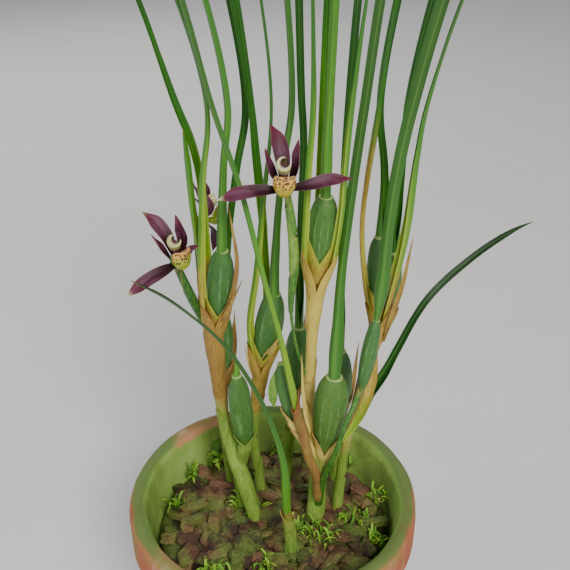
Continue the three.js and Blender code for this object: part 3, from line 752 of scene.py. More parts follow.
def old_bark(name):
    """Damp conifer bark: layered browns grown over with algae."""
    f = Finish(name)
    place = f.place()
    seed = f.trait("seed")
    layer = f.cloud(f.place((0.7, 0.7, 3)), 0.35, 5, 0.65)
    grit = f.cloud(place, 1.1, 5, 0.7)
    tone = layer * 0.6 + grit * 0.3 + seed * 0.35
    brown = f.ramp(tone, [
        (0.3, tint("#170f0a")), (0.5, tint("#352114")), (0.68, tint("#5c3c25")),
        (0.9, tint("#856044")),
    ])
    algae = f.rise(f.cloud(place, 0.07, 4) + (grit - 0.5) * 0.3, 0.42, 0.6)
    green = f.ramp(grit, [(0.35, tint("#38501a")), (0.6, tint("#6f8a2c"))])
    colour = f.mix(algae * 0.6, brown, green)
    return f.close(colour, 0.75 + (grit - 0.5) * 0.4, layer + grit * 0.7, 0.7)


def moss_green(name):
    f = Finish(name)
    grain = f.cloud(f.place(), 1.5, 3)
    tone = f.trait("along") * 0.6 + f.trait("seed") * 0.4 + (grain - 0.5) * 0.3
    colour = f.ramp(tone, [
        (0.1, tint("#22390c")), (0.45, tint("#4f8016")), (0.75, tint("#82b02a")),
        (1, tint("#b3cc4c")),
    ])
    return f.close(colour, 0.6 + grain * 0.2, grain, 0.1)


def pale_floor(name):
    f = Finish(name)
    grain = f.cloud(f.place(), 0.02, 3)
    colour = f.mix(grain, tint("#d3d2ce"), tint("#dbdad6"))
    return f.close(colour, 0.75 + (grain - 0.5) * 0.1, grain, 0.05)


# Shapes


def unit(v):
    return v / np.linalg.norm(v, axis=-1, keepdims=True)


def smooth(values, t):
    """Reads values that lie evenly along a piece, on a smooth curve, at t from 0 to 1."""
    values = np.asarray([*values, values[-1]] if len(values) == 1 else values, float)
    place = np.clip(t, 0, 1) * (len(values) - 1)
    low = np.minimum(place.astype(int), len(values) - 2)
    f = place - low
    a, b, c, d = (values[np.clip(low + k, 0, len(values) - 1)] for k in (-1, 0, 1, 2))
    return b + 0.5 * f * (c - a + f * (2 * a - 5 * b + 4 * c - d + f * (3 * (b - c) + d - a)))


class Line:
    """A smooth curve through points in millimetres, measured by its length."""

    SAMPLES = 24

    def __init__(self, points):
        points = np.asarray(points, float)
        before, after = 2 * points[0] - points[1], 2 * points[-1] - points[-2]
        knots = np.vstack([before, points, after])
        stretches = [self.stretch(knots[i : i + 4]) for i in range(len(points) - 1)]
        self.places = np.vstack([*stretches, points[-1:]])
        steps = np.linalg.norm(np.diff(self.places, axis=0), axis=1)
        self.reach = np.concatenate([[0], np.cumsum(steps)])
        self.length = self.reach[-1]

    def stretch(self, knots):
        """Places between the second and third of four knots, on a centripetal spline."""
        gaps = np.sqrt(np.linalg.norm(np.diff(knots, axis=0), axis=1))
        a, b, c, d = knots
        first = ((b - a) / gaps[0] - (c - a) / (gaps[0] + gaps[1]) + (c - b) / gaps[1]) * gaps[1]
        last = ((c - b) / gaps[1] - (d - b) / (gaps[1] + gaps[2]) + (d - c) / gaps[2]) * gaps[1]
        t = np.linspace(0, 1, self.SAMPLES, endpoint=False)[:, None]
        return b + first * t + (3 * (c - b) - 2 * first - last) * t**2 + (
            2 * (b - c) + first + last
        ) * t**3

    def at(self, t):
        reach = np.clip(t, 0, 1) * self.length
        return np.stack([np.interp(reach, self.reach, self.places[:, k]) for k in range(3)], -1)

    def walk(self, t, foot_face, tip_face):
        """At each t: the place, and the directions across, towards the face and onward."""
        onward = unit(self.at(t + 0.01) - self.at(t - 0.01))
        blend = np.asarray(t)[:, None]
        face = np.asarray(foot_face) * (1 - blend) + np.asarray(tip_face) * blend
        across = unit(np.cross(face, onward))
        return self.at(t), across, np.cross(onward, across), onward


class Skin:
    """A growing mesh, with the numbers that its finish reads at each point."""

    TRAITS = ("along", "across", "tone", "dry", "back", "seed")

    def __init__(self):
        self.points = []
        self.faces = []
        self.traits = {name: [] for name in self.TRAITS}
        self.count = 0

    def grid(self, places, ends=None, **traits):
        """Adds rings of points, each ring closed on itself.

        ends is "strip" for a flat ring, "disc" for a round one, and None leaves them open.
        """
        rings, count = places.shape[:2]
        index = np.arange(rings * count).reshape(rings, count) + self.count
        onward = np.roll(index, -1, axis=1)
        quads = np.stack([index[:-1], onward[:-1], onward[1:], index[1:]], -1).reshape(-1, 4)
        self.faces.extend(quads.tolist())
        if ends == "disc":
            self.faces.append(index[0, ::-1].tolist())
            self.faces.append(index[-1].tolist())
        if ends == "strip":
            for i in range(count // 2 - 1):
                far = count - 1 - i
                for ring, turn in ((index[0], -1), (index[-1], 1)):
                    self.faces.append([ring[k] for k in (i, i + 1, far - 1, far)][::turn])
        self.points.append(places.reshape(-1, 3))
        for name in self.TRAITS:
            values = np.broadcast_to(traits.get(name, 0.0), (rings, count))
            self.traits[name].append(values.reshape(-1))
        self.count += rings * count

    def make(self, name, finish, slot, *nodes, sharp=42):
        """Makes the object, which stands for the named nodes of the solid."""
        mesh = bpy.data.meshes.new(name)
        mesh.from_pydata(np.vstack(self.points) * MM, [], self.faces)
        for trait, values in self.traits.items():
            kept = mesh.attributes.new(trait, "FLOAT", "POINT")
            kept.data.foreach_set("value", np.concatenate(values).astype(np.float32))
        mesh.materials.append(finish)
        mesh.shade_smooth()
        mesh.set_sharp_from_angle(angle=math.radians(sharp))
        made = bpy.data.objects.new(name, mesh)
        bpy.context.scene.collection.objects.link(made)
        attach(made, "root")
        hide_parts(*nodes)
        return made


def column_of(values):
    return np.asarray(values, float)[:, None]


def blade(
    skin, line, width, curl, foot_face, tip_face=None, tone=(0.6,), dry=(0,), fold=(0.3, 0.3),
    thickness=0.6, keel=0.25, points=11, step=4, seed=0.0, twist=0.0, point_length=14.0, wave=0.0,
    front=(1,), centred=False, blunt=0.004,
):
    """A leaf, sheath or tepal: a thin band curled towards its face, thinner at its margins.

    curl is how far its margins turn up in all, in degrees. fold 0 bends it evenly, and fold 1
    folds it sharply at its midrib. front is the width of the half nearer the view, as a share
    of the other's. The line is the midrib's, or runs in the middle of the curl if centred.
    blunt 1 leaves its end as wide as the rest.
    """
    line = Line(line)
    rings = int(line.length / step) + 2
    t = 1 - np.linspace(1, 0, rings) ** 1.15
    place, across, towards, onward = line.walk(t, foot_face, tip_face or foot_face)
    turned = column_of(np.radians(twist) * np.sin(2 * np.pi * (t * 1.3 + seed)) * t)
    across, towards = (
        across * np.cos(turned) + towards * np.sin(turned),
        towards * np.cos(turned) - across * np.sin(turned),
    )
    left = (1 - t) * line.length
    ending = np.sqrt(np.clip(left / min(point_length, line.length / 2), blunt, 1))
    spread = np.linspace(-1, 1, points)
    s = (0.5 * spread + 0.5 * np.sin(spread * np.pi / 2))[None]
    keen = column_of(smooth(fold, t))
    bend = column_of(np.radians(smooth(curl, t)) / 2) * ((1 - keen) * s + keen * np.tanh(5 * s))
    half = column_of(smooth(width, t) * ending / 2)
    nearer = np.sign(across @ np.array(TOWARDS_VIEW, float))[:, None] * s > 0
    half = half * np.where(nearer, column_of(smooth(front, t)), 1)
    ahead, level = run_of(np.cos(bend), s) * half, run_of(np.sin(bend), s) * half
    level = level + wave * np.sin(t * line.length / 5 + seed * 9)[:, None] * s**2
    if centred:
        level = level - level.mean(axis=1, keepdims=True)
    mid = place[:, None] + across[:, None] * ahead[..., None] + towards[:, None] * level[..., None]
    out = across[:, None] * np.sin(bend)[..., None] - towards[:, None] * np.cos(bend)[..., None]
    slim = np.minimum(1, column_of(ending) * 1.2)
    body = thickness / 2 * (1 - 0.7 * s**2) * slim
    rib = np.exp(-((s / 0.2) ** 2)) * slim
    back = mid + out * (body + keel * rib)[..., None]
    inner = mid - out * (body - 0.4 * keel * rib)[..., None]
    behind = np.broadcast_to(np.array([1.0] * points + [0.0] * points), (rings, 2 * points))
    both = np.concatenate([s, s[:, ::-1]], axis=1)
    skin.grid(
        np.concatenate([back, inner[:, ::-1]], axis=1), "strip", along=column_of(t), across=both,
        tone=column_of(smooth(tone, t)), dry=column_of(smooth(dry, t)), back=behind, seed=seed,
    )


def run_of(slope, s):
    """Adds up a slope across a band, from its middle out to both margins."""
    steps = (slope[:, 1:] + slope[:, :-1]) / 2 * np.diff(s)
    run = np.concatenate([np.zeros((len(slope), 1)), np.cumsum(steps, axis=1)], axis=1)
    return run - run[:, [s.size // 2]]


def by_distance(length, *stops):
    """Values given at distances from the foot, as an array that lies evenly along the piece."""
    far, values = zip(*stops)
    return np.interp(np.linspace(0, length, 90), far, values)


def flat_width(seen, curl):
    """How wide a band is laid flat, if it is seen this wide once its margins turn up by curl."""
    half = np.radians(np.maximum(curl, 1)) / 2
    return seen * half / np.sin(np.minimum(half, np.pi / 2))


def tube(
    skin, line, radius, sides=16, step=3, narrow=1.0, face=TOWARDS_VIEW, along=(0, 1), **traits,
):
    """A round stem or root with the given half widths along it."""
    line = Line(line)
    t = np.linspace(0, 1, int(line.length / step) + 2)
    place, across, towards, onward = line.walk(t, face, face)
    turn = np.linspace(0, 2 * np.pi, sides, endpoint=False)[None]
    half = column_of(smooth(radius, t))
    places = (
        place[:, None]
        + across[:, None] * (np.cos(turn) * half)[..., None]
        + towards[:, None] * (np.sin(turn) * half * narrow)[..., None]
    )
    length = column_of(along[0] + (along[1] - along[0]) * t)
    skin.grid(places, "disc", along=length, **traits)


def wrap(
    skin, line, radius, start, end, side, lobes=1, low=0.72, flare=0.4, tip_flare=1.2, paper=0.35,
    sides=32, narrow=(1.0,), reach=1.0, cleft=1.1, **traits,
):
    """A scale wrapped round a stem. Its margin rises to one point on its side, or to two lobes.

    The trait along runs from 0 at its foot to reach at its margin.
    """
    line = Line(line)
    turn = np.linspace(0, 2 * np.pi, sides, endpoint=False)
    lift = np.abs(np.cos(lobes / 2 * (turn - np.radians(side)))) ** (3.2 if lobes == 1 else cleft)
    margin = start + (end - start) * (low + (1 - low) * lift)
    rows = np.linspace(0, 1, 14)
    layers = [(v, 0.0) for v in rows] + [(v, 1.0) for v in rows[:6:-1]]
    grid, along = [], []
    for v, inner in layers:
        t = start + v * (margin - start)
        place, across, towards, onward = line.walk(t, TOWARDS_VIEW, TOWARDS_VIEW)
        grip = 1 if v > 0 else 0
        stand = flare * v**2 + tip_flare * lift**3 * v**4
        edge = smooth(radius, t) + (0.12 + paper * (1 - inner)) * grip - 0.3 * (1 - grip)
        if inner and v == rows[7]:
            edge = edge - 0.8
            stand = 0 * stand
        depth = np.sin(turn) * smooth(narrow, t)
        out = across * np.cos(turn)[:, None] + towards * depth[:, None]
        grid.append(place + out * (edge + stand)[:, None])
        along.append(np.full(sides, v))
    along = np.array(along)
    skin.grid(np.array(grid), None, along=along * reach, across=along**3, **traits)


# Parts of the orchid


def fan_out(line, rise):
    """Above its last chosen point a leaf leans away from the middle of the clump."""
    if not rise:
        return line
    x, y, z = line[-1]
    away = (x - FAN_CENTRE[0], y - FAN_CENTRE[1])
    grown = []
    for share in FAN_SHARES:
        height = share * rise / 100
        growth = [1 + s * height + b / 4 * height**2 for s, b in zip(FAN_SPREAD, FAN_BEND)]
        out = [middle + d * g for middle, d, g in zip(FAN_CENTRE, away, growth)]
        grown.append([*out, z + rise * (share - FAN_DROOP * share**3)])
    return line + grown


def face_of_tip(line):
    """The face of a leaning leaf turns up and back to the middle of the clump."""
    away = unit(np.array(line[-1][:2]) - FAN_CENTRE)
    return (-away[0] * 0.7, -away[1] * 0.7 - 0.3, 0.6)


def leaf_blade(skin, line, width=3.1, rise=0, foot=1.1, neck=0.0, covered=0, **looks):
    """A leaf. Its foot is rolled into a stalk, which is as wide as neck on the top of a bulb,
    or over the length that a sheath covers."""
    full = fan_out(line, rise)
    length = Line(full).length
    part = min(1, length / 100)
    wide = width * foot
    seen = by_distance(
        length, (0, neck or wide), (covered + 4 * part, neck or wide),
        (covered + 14 * part, wide * 1.05), (covered + 50 * part, width), (length * 0.6, width),
        (length * 0.85, width * 0.86), (length, 1.4),
    )
    curl = by_distance(
        length, (0, 352), (6 * part, 346), (12 * part, 300), (20 * part, 210), (30 * part, 130),
        (60 * part, 60), (length, 40),
    )
    fold = by_distance(length, (0, 0), (20 * part, 0), (45 * part, 0.6), (length, 0.4))
    inward = -1 if full[-1][1] > FAN_CENTRE[1] else 1
    blade(
        skin, full, flat_width(seen, curl), curl, (0.3, inward, 0), face_of_tip(full), fold=fold,
        points=15, step=3, centred=True, **looks,
    )


def leafy_sheath(skin, line, bulb, stem, low, width=2.5, rise=0, tan=30, slim=1.0, **looks):
    """Hugs one side of the stem from low millimetres below its end, then a side of the bulb, and
    folds into a keeled blade. tan is how far above the stem's end it turns green."""
    line = fan_out(line, rise)
    inward = np.array(bulb["base"], float) - line[1]
    inward[2] = 0
    face = unit(unit(inward) + np.array(TOWARDS_VIEW) * CLASP_TURN)
    stem_line = Line(stem["line"])
    end = stem["radius"][-1]
    below = []
    for drop, out in ((low, -1.6), (low / 2, -0.8)):
        share = np.array([1 - drop / stem_line.length])
        radius = smooth(stem["radius"], share)[0]
        below.append(stem_line.at(share)[0] - face * (radius + out))
    top = stem_line.places[-1] - face * (end - 0.2)
    full = [*below, top, *line[1:]]
    length = Line(full).length
    round_stem = math.pi * end
    widths = by_distance(
        length, (0, round_stem * 0.5), (low, round_stem), (low + 8, 9.5), (low + 16, 8.4 * slim),
        (low + 28, 7 * slim), (low + 46, 6.2 * slim), (low + 62, 5.6 * slim),
        (low + 85, 1.8 * width), (low + 120, width), (length * 0.85, width * 0.88), (length, 1.4),
    )
    curl = by_distance(
        length, (0, 190), (low, 190), (low + 10, 175), (low + 30, 150), (low + 60, 135),
        (low + 120, 70), (length, 40),
    )
    fold = by_distance(length, (0, 0), (low, 0), (low + 25, 0.5), (low + 70, 0.9), (length, 0.4))
    dry = by_distance(
        length, (0, 1.1), (low + tan * 0.5, 1.0), (low + tan, 0.55), (low + tan * 1.4, 0.1),
        (low + tan * 1.7, 0), (length, 0),
    )
    tone = by_distance(
        length, (0, 0.05), (low + 35, 0.08), (low + 75, 0.4), (low + 130, 0.66), (length, 0.7),
    )
    front = by_distance(
        length, (0, 1), (low, 1), (low + 14, 0.75), (low + 26, 0.65), (low + 46, 0.75),
        (low + 70, 1), (length, 1),
    )
    blade(
        skin, full, widths, curl, tuple(face), face_of_tip(full), fold=fold, dry=dry, tone=tone,
        front=front, points=21, step=2.5, keel=0.2, **looks,
    )


def paper_sheath(skin, line, width, **looks):
    """A dry sheath that has come loose, seen from its hollow side."""
    widths = [width * 0.5, width * 0.95, width * 0.9, width * 0.5, 0.8]
    blade(
        skin, line, widths, [160, 130, 110, 90, 60], TOWARDS_VIEW, keel=0.1, step=1.5, fold=(0.5,),
        **looks,
    )


def bulb_swell(share, shoulder):
    """A bulb's half width for each share of its height. It is fullest higher up for a larger
    shoulder."""
    return smooth(BULB_SHAPE, np.asarray(share) ** shoulder) / 2


def bulb_body(
    skin, base, top, width, narrow=0.75, tone=0.6, shoulder=1.1, fuller=1.0, seed=0.0,
):
    """An ovoid with fine raised lines, and a scar round its top where the leaf stands."""
    line = Line([base, top])
    width = width * fuller
    scar = [0.968, 0.973, 0.977, 0.981, 0.985, 0.99, 1.0]
    t = np.concatenate([np.linspace(0, 0.962, 36), scar])
    lip = np.array([0.0] * 36 + [0.02, 0.12, 0.15, 0.1, -0.12, -0.5, -1.2])
    turn = np.linspace(0, 2 * np.pi, 96, endpoint=False)[None]
    place, across, towards, onward = line.walk(t, TOWARDS_VIEW, TOWARDS_VIEW)
    wander = turn + 0.3 * np.sin(turn * 2 + seed * 9) + 0.1 * column_of(t) * np.sin(turn + seed)
    ridge = (0.5 + 0.5 * np.cos(BULB_RIDGES * wander)) ** 3
    swell = column_of(np.sin(np.pi * np.clip(t, 0, 0.96) / 0.96) ** 0.7)
    half = column_of(bulb_swell(t, shoulder) * width + lip) + 0.03 * width / 2 * ridge * swell
    half = np.maximum(half, 0.2)
    narrow = column_of(narrow + (1 - narrow) * t**6)
    lump = 1 + 0.02 * np.sin(3 * turn + 7 * column_of(t) + seed * 5)
    places = (
        place[:, None]
        + across[:, None] * (np.cos(turn) * half * lump)[..., None]
        + towards[:, None] * (np.sin(turn) * half * lump * narrow)[..., None]
    )
    skin.grid(places, "disc", along=column_of(t), across=ridge * swell, tone=tone, seed=seed)


def clasp(
    skin, bulb, stem, below, notch, lobe, swell=(1.1, 1), loose=0.3, on_stem=0.15,
    round_arms=(0, 0, 0), **looks,
):
    """The scale round a stem's end and the foot of its bulb. It parts before the view and behind.

    below is how far down the stem it begins. notch and lobe are how far up the bulb its margin
    stands in front and at the sides. loose and on_stem are how far off the bulb and the stem it
    stands. round_arms is how far its middle moves sideways and forwards to take in the feet of
    the sheaths, and its half width there.
    """
    base, top = np.array(bulb["base"], float), np.array(bulb["top"], float)
    stem_line, tall = Line(stem["line"]), np.linalg.norm(top - base)
    under = stem_line.at(1 - np.linspace(below, 1, 8) / stem_line.length)
    aside = np.array([*round_arms[:2], 0])
    line = Line([
        *under, base + aside * 0.4, base + (top - base) * lobe / 2 + aside * 0.8,
        base + (top - base) * lobe + aside,
    ])
    from_base = np.linspace(-line.length + lobe * tall, lobe * tall, 40)
    from_end = from_base + np.linalg.norm(base - stem_line.places[-1])
    thin = smooth(stem["radius"], 1 + np.minimum(from_end, 0) / stem_line.length)
    thin = thin * np.clip(1 - from_end / 9, 0, 1) - 0.35
    full = bulb_swell(np.clip(from_base / tall, 0, 1), swell[0]) * bulb["width"] * swell[1]
    stand = np.interp(from_end, (-16, -10, 0, 7), (0, on_stem, on_stem, loose))
    half = np.maximum(thin, np.where(from_base > 0, full, 0)) + stand
    funnel = np.interp(from_end, (-4, 0, 17), (0, stem["radius"][-1] - 0.2, round_arms[2]))
    squash = 1 - (1 - bulb.get("narrow", 0.75)) * np.clip(0.3 + from_base / 12, 0, 1)
    low = 1 - (lobe - notch) * tall / line.length
    wrap(
        skin, line.places[::6], np.maximum(half, funnel * (round_arms[2] > 0)), 0, 1, 0, lobes=2,
        low=low, flare=0.1, tip_flare=0.15, sides=48, narrow=squash, **looks,
    )


def clothed_stem(
    skin, line, radius, scales=1, side=0, seed=0.0, tone=0.5, paper=0.3, reach=1.0, flare=0.4,
    dry=0.0, bare=0.0,
):
    """A stem with a scale to each internode. Each scale stands open over the foot of the next.

    The scales cover it from the share bare to the share reach of its length.
    """
    radius = [r - 0.35 for r in radius]
    tube(skin, line, [r - 0.15 for r in radius], tone=tone + 0.2, seed=seed, dry=dry)
    for i in range(scales):
        start, end = (bare + (reach - bare) * min(far / scales, 1) for far in (i, i + 1.42))
        turn = side + 180 * (i % 2) + 25 * i
        wrap(
            skin, line, radius, start, end, turn, low=0.66, paper=paper, flare=flare,
            tip_flare=3 * flare, tone=tone + 0.22 * math.sin(seed * 7 + i * 2.3),
            seed=seed + i * 0.37, dry=dry,
        )


def own_frame(centre, facing, up):
    """Gives functions that turn a flower's own places and directions into the plant's."""
    z = unit(np.array(facing, float))
    x = unit(np.cross(up, z))
    axes = np.stack([x, np.cross(z, x), z])
    return (
        lambda points: (np.array(points) @ axes + centre).tolist(),
        lambda direction: tuple(direction @ axes),
    )


def flower(
    name, centre, facing, up, right_tip=(24.5, 1.2, -1.5), pale=(0, 0, 0), lime=0.9, seed=0.0,
):
    """Makes one flower in its own frame: x to its right, y up and z out of its face.

    pale is how far the tips of its upper, right and left sepals fade. lime is how green
    its lip is.
    """
    place, turned = own_frame(centre, facing, up)
    x1, y1, z1 = right_tip
    dorsal = [[-0.3, 0.5, 0], [-0.6, 8, 1], [-2.2, 15, 0.5], [-4.6, 20.2, -1]]
    bend = [x1 * 0.66, y1 * 0.4, 1 + z1 * 0.3]
    right = [[1.5, -2.6, 0], [x1 / 3, -1.6, 1.5], bend, right_tip]
    left = [[-1.5, -3, 0], [-8, -3.4, 1.5], [-16, -4.4, 1], [-23.5, -6.4, -1.5]]
    petals = [
        [[2.4, 0, 0], [4.4, 5, 3.5], [4.5, 10, 5], [5, 14.4, 4.5]],
        [[-2.4, 0, 0], [-4.8, 4, 3.2], [-6, 8, 4.2], [-6.7, 11.4, 4]],
    ]
    tepals = Skin()
    shapes = [
        (dorsal, 5.6, (0.15, 0, 1), pale[0]), (right, 2.4 + 0.1 * x1, (0, 0.5, 1), pale[1]),
        (left, 5.3, (0, 0.5, 1), pale[2]), (petals[0], 4.7, (-1, 0, 0.7), 0),
        (petals[1], 4.4, (1, 0, 0.7), 0),
    ]
    for i, (line, width, face, faded) in enumerate(shapes):
        widths = [width * 0.5, width * 0.9, width * 1.08, width * 0.95, 2.4]
        blade(
            tepals, place(line), widths, [70, 60, 55, 50, 40], turned(face), tone=(faded,),
            thickness=0.65, keel=0.12, points=15, step=0.6, seed=seed + i * 0.31, twist=8,
            point_length=6, fold=(0.5, 0.2),
        )
    tepals.make(f"{name}_tepals", tepal_finish, "tepal", f"tepals_{name}")

    throat = Skin()
    line = place([[0, -2.5, -4], [0, -2, -1.5], [0, -1.5, 1]])
    tube(
        throat, line, [1.6, 2.6, 2.9], sides=28, step=0.5, face=turned((0, 1, 0)), tone=0.4,
        along=(0, 0.5),
    )
    throat.make(f"{name}_ovary", stalk_finish, "flower_stalk", f"tepals_{name}")

    lip = Skin()
    line = place([
        [0, -3.4, 1.6], [0, -5.4, 4], [0, -4.2, 6.6], [0, -1.4, 8.2], [0, 0.6, 9.4], [0, 0.2, 11],
    ])
    blade(
        lip, line, [4.4, 8.6, 10.4, 10, 8.6, 6.6], [130, 165, 165, 135, 100, 60],
        turned((0, 1, -0.2)), tone=(lime,), thickness=0.8, keel=0, points=25, step=0.35,
        seed=seed, point_length=2, wave=0.35, fold=(0,),
    )
    lip.make(f"{name}_lip", lip_finish, "lip", f"lip_{name}")

    hood = Skin()
    line = place([
        [0, 0.2, 1], [-0.1, 2.4, 2.8], [-0.3, 4.7, 4.8], [-0.4, 5.7, 7], [-0.4, 5.7, 7.8],
    ])
    blade(
        hood, line, [2.6, 5, 8.4, 10.6, 10.2], [190, 215, 240, 262, 255],
        turned((0.8, 0.5, 0.15)), thickness=1.2, keel=0, points=21, step=0.35, seed=seed,
        fold=(0,), point_length=1.2, centred=True, blunt=0.75,
    )
    tube(
        hood, place([[0, 0, 1], [-0.1, 2, 3], [-0.3, 3.6, 5], [-0.4, 4.1, 6]]),
        [1.3, 1.3, 1.1, 0.7], sides=24, step=0.4, face=turned((0, 1, 0)), along=(0, 0.3),
        back=1, seed=seed,
    )
    tube(
        hood, place([[-0.4, 5.2, 6.4], [-0.4, 5.1, 7.2], [-0.4, 4.8, 8]]), [0.5, 0.85, 0.3],
        sides=20, step=0.25, face=turned((0, 1, 0)), along=(0.2, 0.4), back=1, seed=seed,
    )
    hood.make(f"{name}_column", column_finish, "column", f"column_{name}")


# Pot and filling


def chaikin(points):
    """Cuts the corners of a closed outline once."""
    ahead = np.roll(points, -1, axis=0)
    return np.stack([points * 0.75 + ahead * 0.25, points * 0.25 + ahead * 0.75], 1).reshape(-1, 2)


def clay_pot():
    band_foot = POT_HEIGHT - RIM_BAND_HEIGHT
    shoulder = RIM_RADIUS - RIM_BAND_STEP
    inside = RIM_RADIUS - POT_WALL - 1
    corners = [
        (DRAIN_RADIUS, 0), (FOOT_RADIUS - 1.5, 0), (FOOT_RADIUS, 1.5), (shoulder, band_foot),
        (RIM_RADIUS - 1, band_foot), (RIM_RADIUS, band_foot + 2), (RIM_RADIUS, POT_HEIGHT - 3.5),
        (RIM_RADIUS - 1.4, POT_HEIGHT - 0.8), (RIM_RADIUS - 4, POT_HEIGHT),
        (RIM_RADIUS - 6.8, POT_HEIGHT - 1), (inside, POT_HEIGHT - 4), (inside - 2, band_foot),
        (FOOT_RADIUS - POT_WALL, POT_FLOOR), (DRAIN_RADIUS, POT_FLOOR),
    ]
    outline = []
    for start, end in zip(corners, corners[1:] + corners[:1]):
        cuts = max(1, round(math.dist(start, end) / 2.2))
        for k in range(cuts):
            outline.append([a + (b - a) * k / cuts for a, b in zip(start, end)])
    outline = chaikin(np.array(outline))
    sides = 224
    turn = np.linspace(0, 2 * np.pi, sides, endpoint=False)
    places = np.empty((len(outline) + 1, sides, 3))
    within = np.empty((len(outline) + 1, sides))
    for ring, (radius, height) in enumerate([*outline, outline[0]]):
        for i, angle in enumerate(turn):
            spot = Vector((math.cos(angle) * radius, math.sin(angle) * radius, height))
            worn = noise.noise(spot * 0.05) * 0.45 + noise.noise(spot * 0.35) * 0.12
            worn -= 0.9 * max(0.0, noise.noise(spot * 0.11) - 0.52) * (height > POT_HEIGHT - 4)
            lift = min(1.0, height / 6) * worn
            out = radius + lift * (1 if radius > inside or height < band_foot else -0.4)
            top = noise.noise(spot * 0.06) * 0.4 * (height > POT_HEIGHT - 6)
            places[ring, i] = (math.cos(angle) * out, math.sin(angle) * out, height + top)
        inner = height > POT_FLOOR / 2 and (radius < inside + 3.2) and (
            height > POT_HEIGHT - 4.5 or radius < FOOT_RADIUS - POT_WALL + 0.26 * height
        )
        within[ring] = 1.0 if inner else 0.0
    skin = Skin()
    skin.grid(places[:, ::-1], None, along=within, seed=0.0)
    skin.make("clay_pot", clay_finish, "terracotta", "pot", sharp=60)


def chip(skin, middle, size, turns, seed):
    """One piece of bark: a worn block with split, layered sides."""
    rows, sides = 9, 20
    around = np.linspace(0, 2 * np.pi, sides, endpoint=False)
    rings = []
    for level in np.linspace(-1, 1, rows):
        fall = (1 - abs(level) ** 5) ** 0.35 if abs(level) < 1 else 0.0
        ring = []
        for angle in around:
            c, s = math.cos(angle), math.sin(angle)
            corner = (abs(c) ** 4 + abs(s) ** 4) ** -0.25
            spot = Vector((c * corner * max(fall, 0.05), s * corner * max(fall, 0.05), level))
            rough = noise.noise(spot * 1.6 + Vector((seed * 7, 0, seed))) * 0.28
            fine = noise.noise(Vector((spot.x * 3, spot.y * 3, spot.z * 9 + seed))) * 0.12
            ring.append([
                spot.x * (1 + rough + fine) * size[0] / 2,
                spot.y * (1 + rough - fine) * size[1] / 2,
                (spot.z * (1 + 0.5 * rough) + 0.5 * fine) * size[2] / 2,
            ])
        rings.append(ring)
    places = np.array(rings)
    for axis, angle in zip(((1, 0, 0), (0, 1, 0), (0, 0, 1)), turns):
        a, b, c = axis
        cos, sin = math.cos(angle), math.sin(angle)
        matrix = np.array([
            [cos + a * a * (1 - cos), a * b * (1 - cos) - c * sin, a * c * (1 - cos) + b * sin],
            [a * b * (1 - cos) + c * sin, cos + b * b * (1 - cos), b * c * (1 - cos) - a * sin],
            [a * c * (1 - cos) - b * sin, b * c * (1 - cos) + a * sin, cos + c * c * (1 - cos)],
        ])
        places = places @ matrix.T
    skin.grid(places + middle, "disc", seed=seed % 1)


def bark_bed():
    draw = random.Random(BARK_DRAW)
    inside = RIM_RADIUS - POT_WALL - 3.3
    bed = Skin()
    sides = 96
    turn = np.linspace(0, 2 * np.pi, sides, endpoint=False)
    outline = [(2, POT_FLOOR + 0.5), (FOOT_RADIUS - POT_WALL - 0.6, POT_FLOOR + 0.5)]
    outline += [(inside - 2.6, MEDIUM_TOP - 6), (inside - 3.4, MEDIUM_TOP - 4.5)]
    outline += [(r, MEDIUM_TOP - 4) for r in np.linspace(inside - 5, 1, 22)]
    rings = []
    for radius, height in outline:
        ring = []
        for angle in turn:
            spot = Vector((math.cos(angle) * radius, math.sin(angle) * radius, height))
            lift = noise.noise(spot * 0.15) * 1.6 if height > 50 else 0
            ring.append([spot.x, spot.y, height + lift])
        rings.append(ring)
    bed.grid(np.array(rings), "disc", seed=0.1)
    for i in range(CHIPS):
        out = (inside - 6.5) * math.sqrt((i + 0.5) / CHIPS)
        angle = i * math.pi * (3 - math.sqrt(5)) + draw.uniform(-0.1, 0.1)
        size = (draw.uniform(7, 14), draw.uniform(5, 9), draw.uniform(2.4, 4.2))
        turns = (draw.uniform(-0.5, 0.5), draw.uniform(-0.45, 0.45), draw.uniform(0, math.pi))
        height = MEDIUM_TOP - 3.6 + 3.2 * draw.random()
        middle = (math.cos(angle) * out, math.sin(angle) * out, height)
        chip(bed, middle, size, turns, draw.uniform(0, 40))
    bed.make("bark_bed", bark_finish, "bark", "bark_medium", sharp=50)


